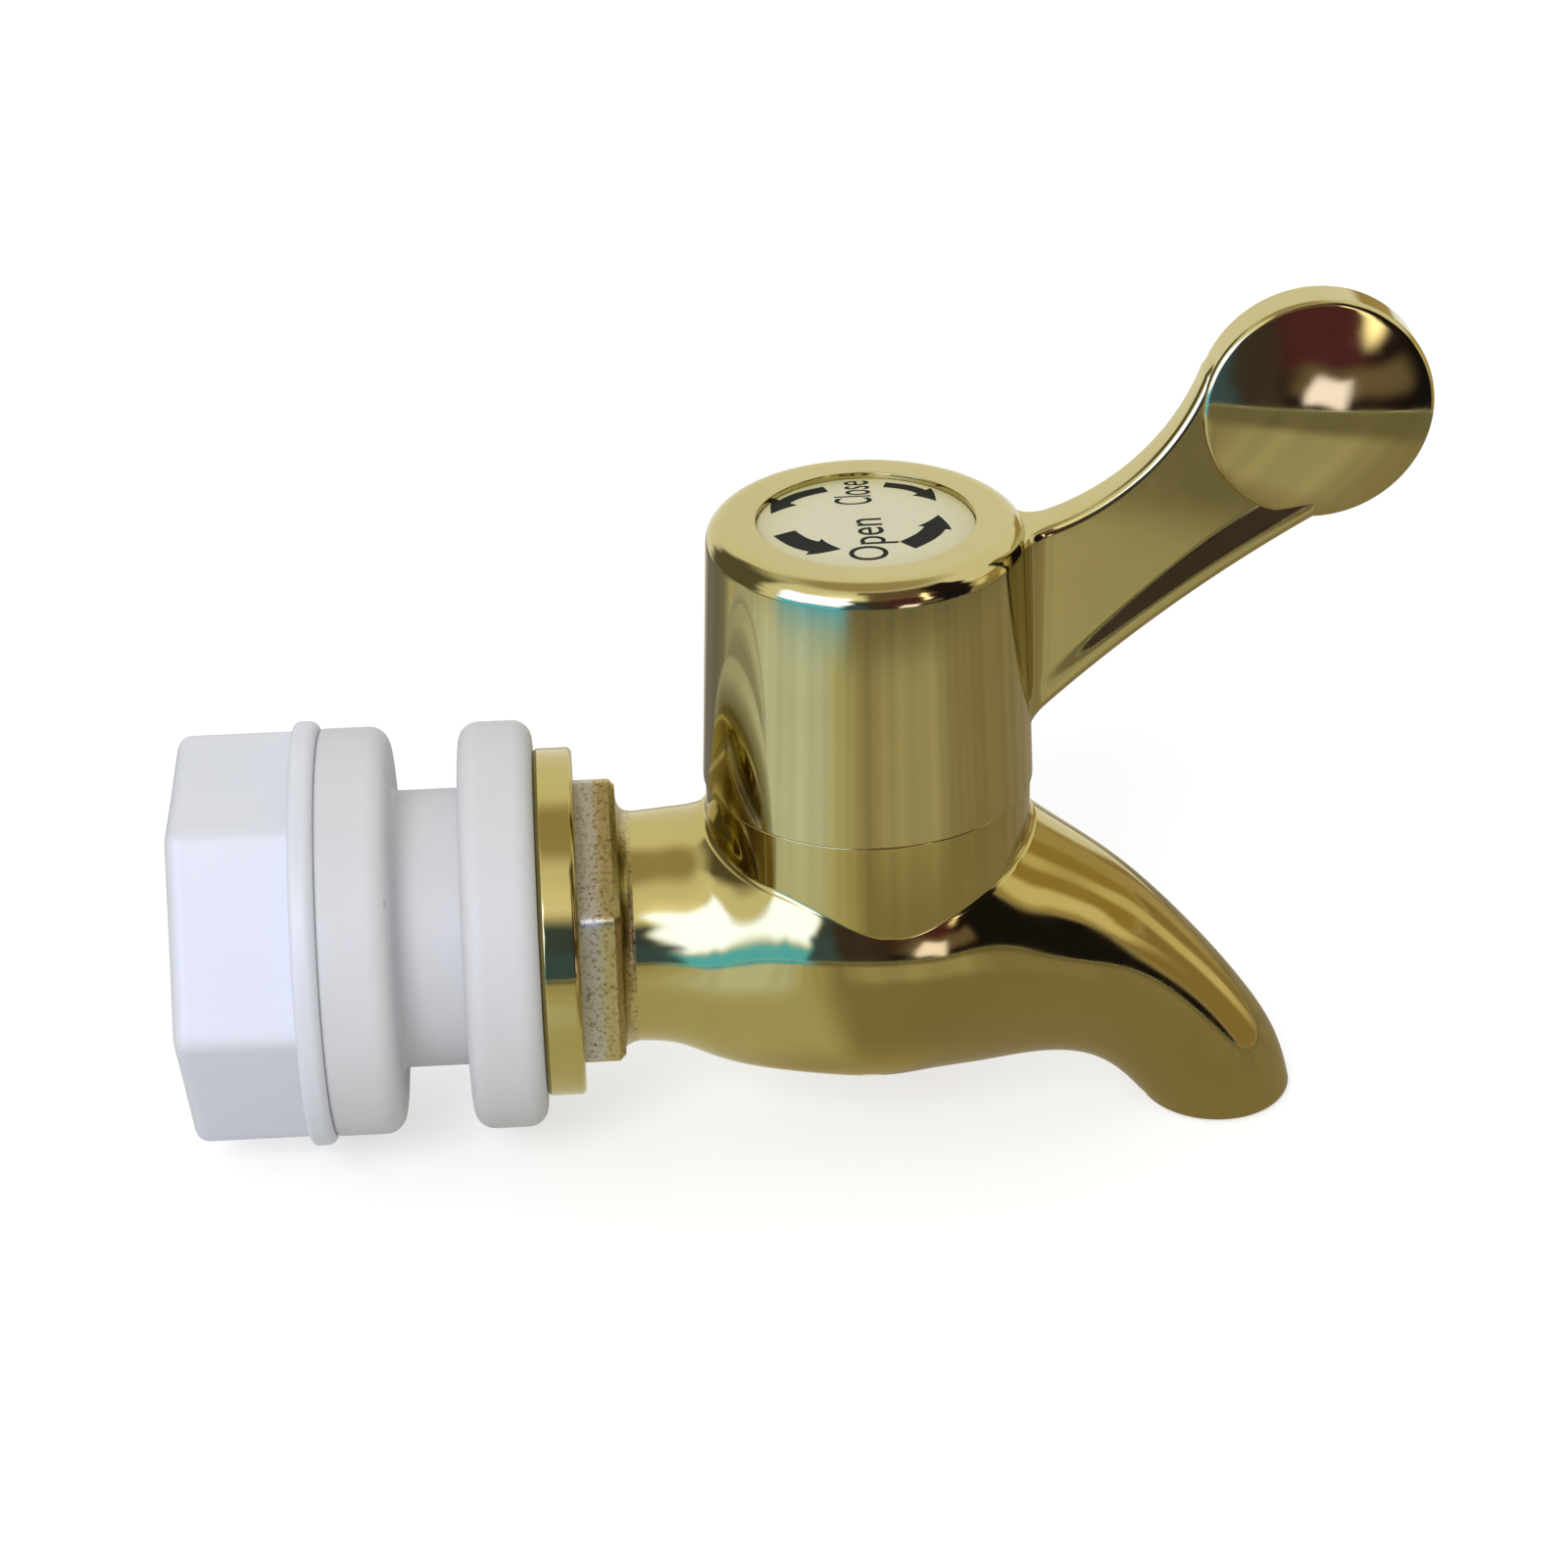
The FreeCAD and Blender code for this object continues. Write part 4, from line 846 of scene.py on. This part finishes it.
def seenDirectly(tree):
    # 1 for rays from the camera, from metal and through glass, 0 for all others
    path = addNode(tree, "LightPath")
    first = addNode(tree, "Math", {"operation": "MAXIMUM"},
                    {0: path.outputs["Is Camera Ray"], 1: path.outputs["Is Glossy Ray"]})
    return addNode(tree, "Math", {"operation": "MAXIMUM"},
                   {0: first.outputs[0], 1: path.outputs["Is Transmission Ray"]}).outputs[0]


def makeFloor():
    # a pale floor that keeps the shadow: half its white is its own colour under the lamps, and half a
    # glow for rays from the camera, from metal and through glass
    made = bpy.data.materials.new("paleFloor")
    tree = emptyTree(made)
    seen = seenDirectly(tree)
    strength = addNode(tree, "Math", {"operation": "MULTIPLY", 1: stage["floorGlow"]}, {0: seen})
    shader = addNode(tree, "BsdfDiffuse", {"Color": srgb(stage["floorShade"])})
    glow = addNode(tree, "Emission", {"Color": (1, 1, 1, 1)}, {"Strength": strength.outputs[0]})
    both = addNode(tree, "AddShader", links={0: shader.outputs[0], 1: glow.outputs[0]})
    addNode(tree, "OutputMaterial", links={"Surface": both.outputs[0]})
    side = 6.0
    mesh = bpy.data.meshes.new("floor")
    height = stage["lowest"] * mm
    corners = [(-side, -side, height), (side, -side, height), (side, side, height), (-side, side, height)]
    mesh.from_pydata(corners, [], [(0, 1, 2, 3)])
    mesh.materials.append(made)
    floor = addObject("floor", mesh)


def paintedLight(cards, across, along):
    # every card covers what lies under it by a share that eases from 0 to 1 over its softness at all four
    # sides
    light = np.zeros((*across.shape, 3))
    for (left, right), (low, high), softAcross, softAlong, colour, strength in cards:
        share = ease((across - left) / softAcross + 0.5) * ease((right - across) / softAcross + 0.5)
        share = share * ease((along - low) / softAlong + 0.5) * ease((high - along) / softAlong + 0.5)
        light = light + share[..., None] * (np.array(srgb(colour)[:3]) * strength - light)
    return light


def makeCard(name, points, light):
    # a painted surface of the studio that glows with the light given at its points, and that only
    # polished metal shows
    rows, columns = points.shape[:2]
    index = np.arange(rows * columns).reshape(rows, columns)
    faces = np.stack([index[:-1, :-1], index[:-1, 1:], index[1:, 1:], index[1:, :-1]], -1).reshape(-1, 4)
    mesh = bpy.data.meshes.new(name)
    mesh.from_pydata(points.reshape(-1, 3) * mm, [], faces.tolist())
    layer = mesh.color_attributes.new("light", "FLOAT_COLOR", "POINT")
    shades = np.concatenate([light, np.ones((rows, columns, 1))], -1)
    layer.data.foreach_set("color", shades.ravel().astype(np.float32))
    made = bpy.data.materials.new(name)
    tree = emptyTree(made)
    stored = addNode(tree, "VertexColor", {"layer_name": "light"})
    glow = addNode(tree, "Emission", links={"Color": stored.outputs["Color"]})
    addNode(tree, "OutputMaterial", links={"Surface": glow.outputs[0]})
    mesh.materials.append(made)
    card = addObject(name, mesh)
    card.visible_camera = False
    card.visible_diffuse = False
    card.visible_shadow = False
    card.visible_transmission = False


def makeRoom():
    # a dome round the tap: middle + reach * (cos h * sin b, -cos h * cos b, sin h) for the bearing b and
    # the height h. The painting is shifted by a few waves of both, so that no edge in it is ruler
    # straight
    bearing, height = np.meshgrid(np.linspace(-180, 180, 241), np.linspace(-6.2, 90, 91))
    east, rise = np.radians(bearing), np.radians(height)
    points = np.array([30, 0, 0]) + stage["roomReach"] * np.stack([
        np.cos(rise) * np.sin(east), -np.cos(rise) * np.cos(east), np.sin(rise)], -1)
    shiftA = 1.1 * np.sin(7 * east + 19 * rise) + 0.7 * np.sin(23 * rise - 11 * east)
    shiftH = np.cos(rise) ** 2 * (0.9 * np.sin(13 * east + 1) + 0.5 * np.sin(29 * east + 9 * rise))
    makeCard("room", points, paintedLight(roomCards, bearing + shiftA, height + shiftH))


def makeTable():
    # a flat ring on the floor: (distance * sin b, -distance * cos b) for the bearing b. Folds of the
    # cloth brighten and dim it by a few waves of the bearing, away from the tap
    bearing, distance = np.meshgrid(np.linspace(-180, 180, 361), np.linspace(1, stage["tableReach"], 70))
    east = np.radians(bearing)
    points = np.stack([30 + distance * np.sin(east), -distance * np.cos(east),
                       np.full_like(east, stage["lowest"] + 0.05)], -1)
    waves = np.sin(19 * east + 2 * np.sin(3 * east)) + 0.8 * np.sin(43 * east + 3 * np.sin(5 * east + 1))
    folds = 1 + 0.05 * waves * ease((distance - 45) / 30)
    makeCard("table", points, paintedLight(tableCards, bearing, distance) * folds[..., None])


def makeLamp(name, place, target, size, power):
    data = bpy.data.lights.new(name, "AREA")
    data.shape = "DISK"
    data.size = size
    data.energy = power
    lamp = addObject(name, data)
    lamp.location = Vector(place)
    lamp.rotation_euler = (Vector(target) - Vector(place)).to_track_quat("-Z", "Y").to_euler()


def makeWorld():
    # white for the camera, metal and glass, and a dimmer even light on everything else
    world = bpy.data.worlds.new("studio")
    bpy.context.scene.world = world
    tree = emptyTree(world)
    seen = seenDirectly(tree)
    strength = addNode(tree, "MapRange", {"To Min": stage["worldGlow"], "To Max": 1.0}, {"Value": seen})
    glow = addNode(tree, "Background", {"Color": (1, 1, 1, 1)}, {"Strength": strength.outputs["Result"]})
    addNode(tree, "OutputWorld", links={"Surface": glow.outputs[0]})


camera = {
    # where the camera looks from, in degrees, its roll, its lens for a 36 mm sensor, and the point that
    # it looks at, in mm
    "azimuth": -3.2, "elevation": 29.07, "roll": -1.135, "lens": 89.84,
    "target": (22.315, 0, 13.073), "distance": 348.55,
}


def makeCamera():
    # looks along (-sin az cos el, cos az cos el, -sin el), with its sides turned by the roll about that
    # line
    az, el, roll = (math.radians(camera[key]) for key in ("azimuth", "elevation", "roll"))
    look = Vector((-math.sin(az) * math.cos(el), math.cos(az) * math.cos(el), -math.sin(el)))
    right = Vector((math.cos(az), math.sin(az), 0))
    up = right.cross(look)
    side = right * math.cos(roll) + up * math.sin(roll)
    top = up * math.cos(roll) - right * math.sin(roll)
    data = bpy.data.cameras.new("camera")
    data.lens = camera["lens"]
    data.sensor_width = 36
    data.clip_start = 0.01
    view = addObject("camera", data)
    place = Vector(camera["target"]) * mm - look * camera["distance"] * mm
    turned = Matrix((side, top, -look)).transposed().to_4x4()
    view.matrix_world = Matrix.Translation(place) @ turned
    bpy.context.scene.camera = view


makeFloor()
makeWorld()
makeLamp("front_softbox", (-0.35, -0.9, 0.75), (0.03, 0, 0.01), 0.5, 5.4)
makeLamp("back_softbox", (-0.2, 0.8, 0.9), (0.03, 0, 0.01), 0.7, 1.0)
makeRoom()
makeTable()
makeCamera()
scene = bpy.context.scene
scene.view_settings.view_transform = "Standard"
print("stage set")
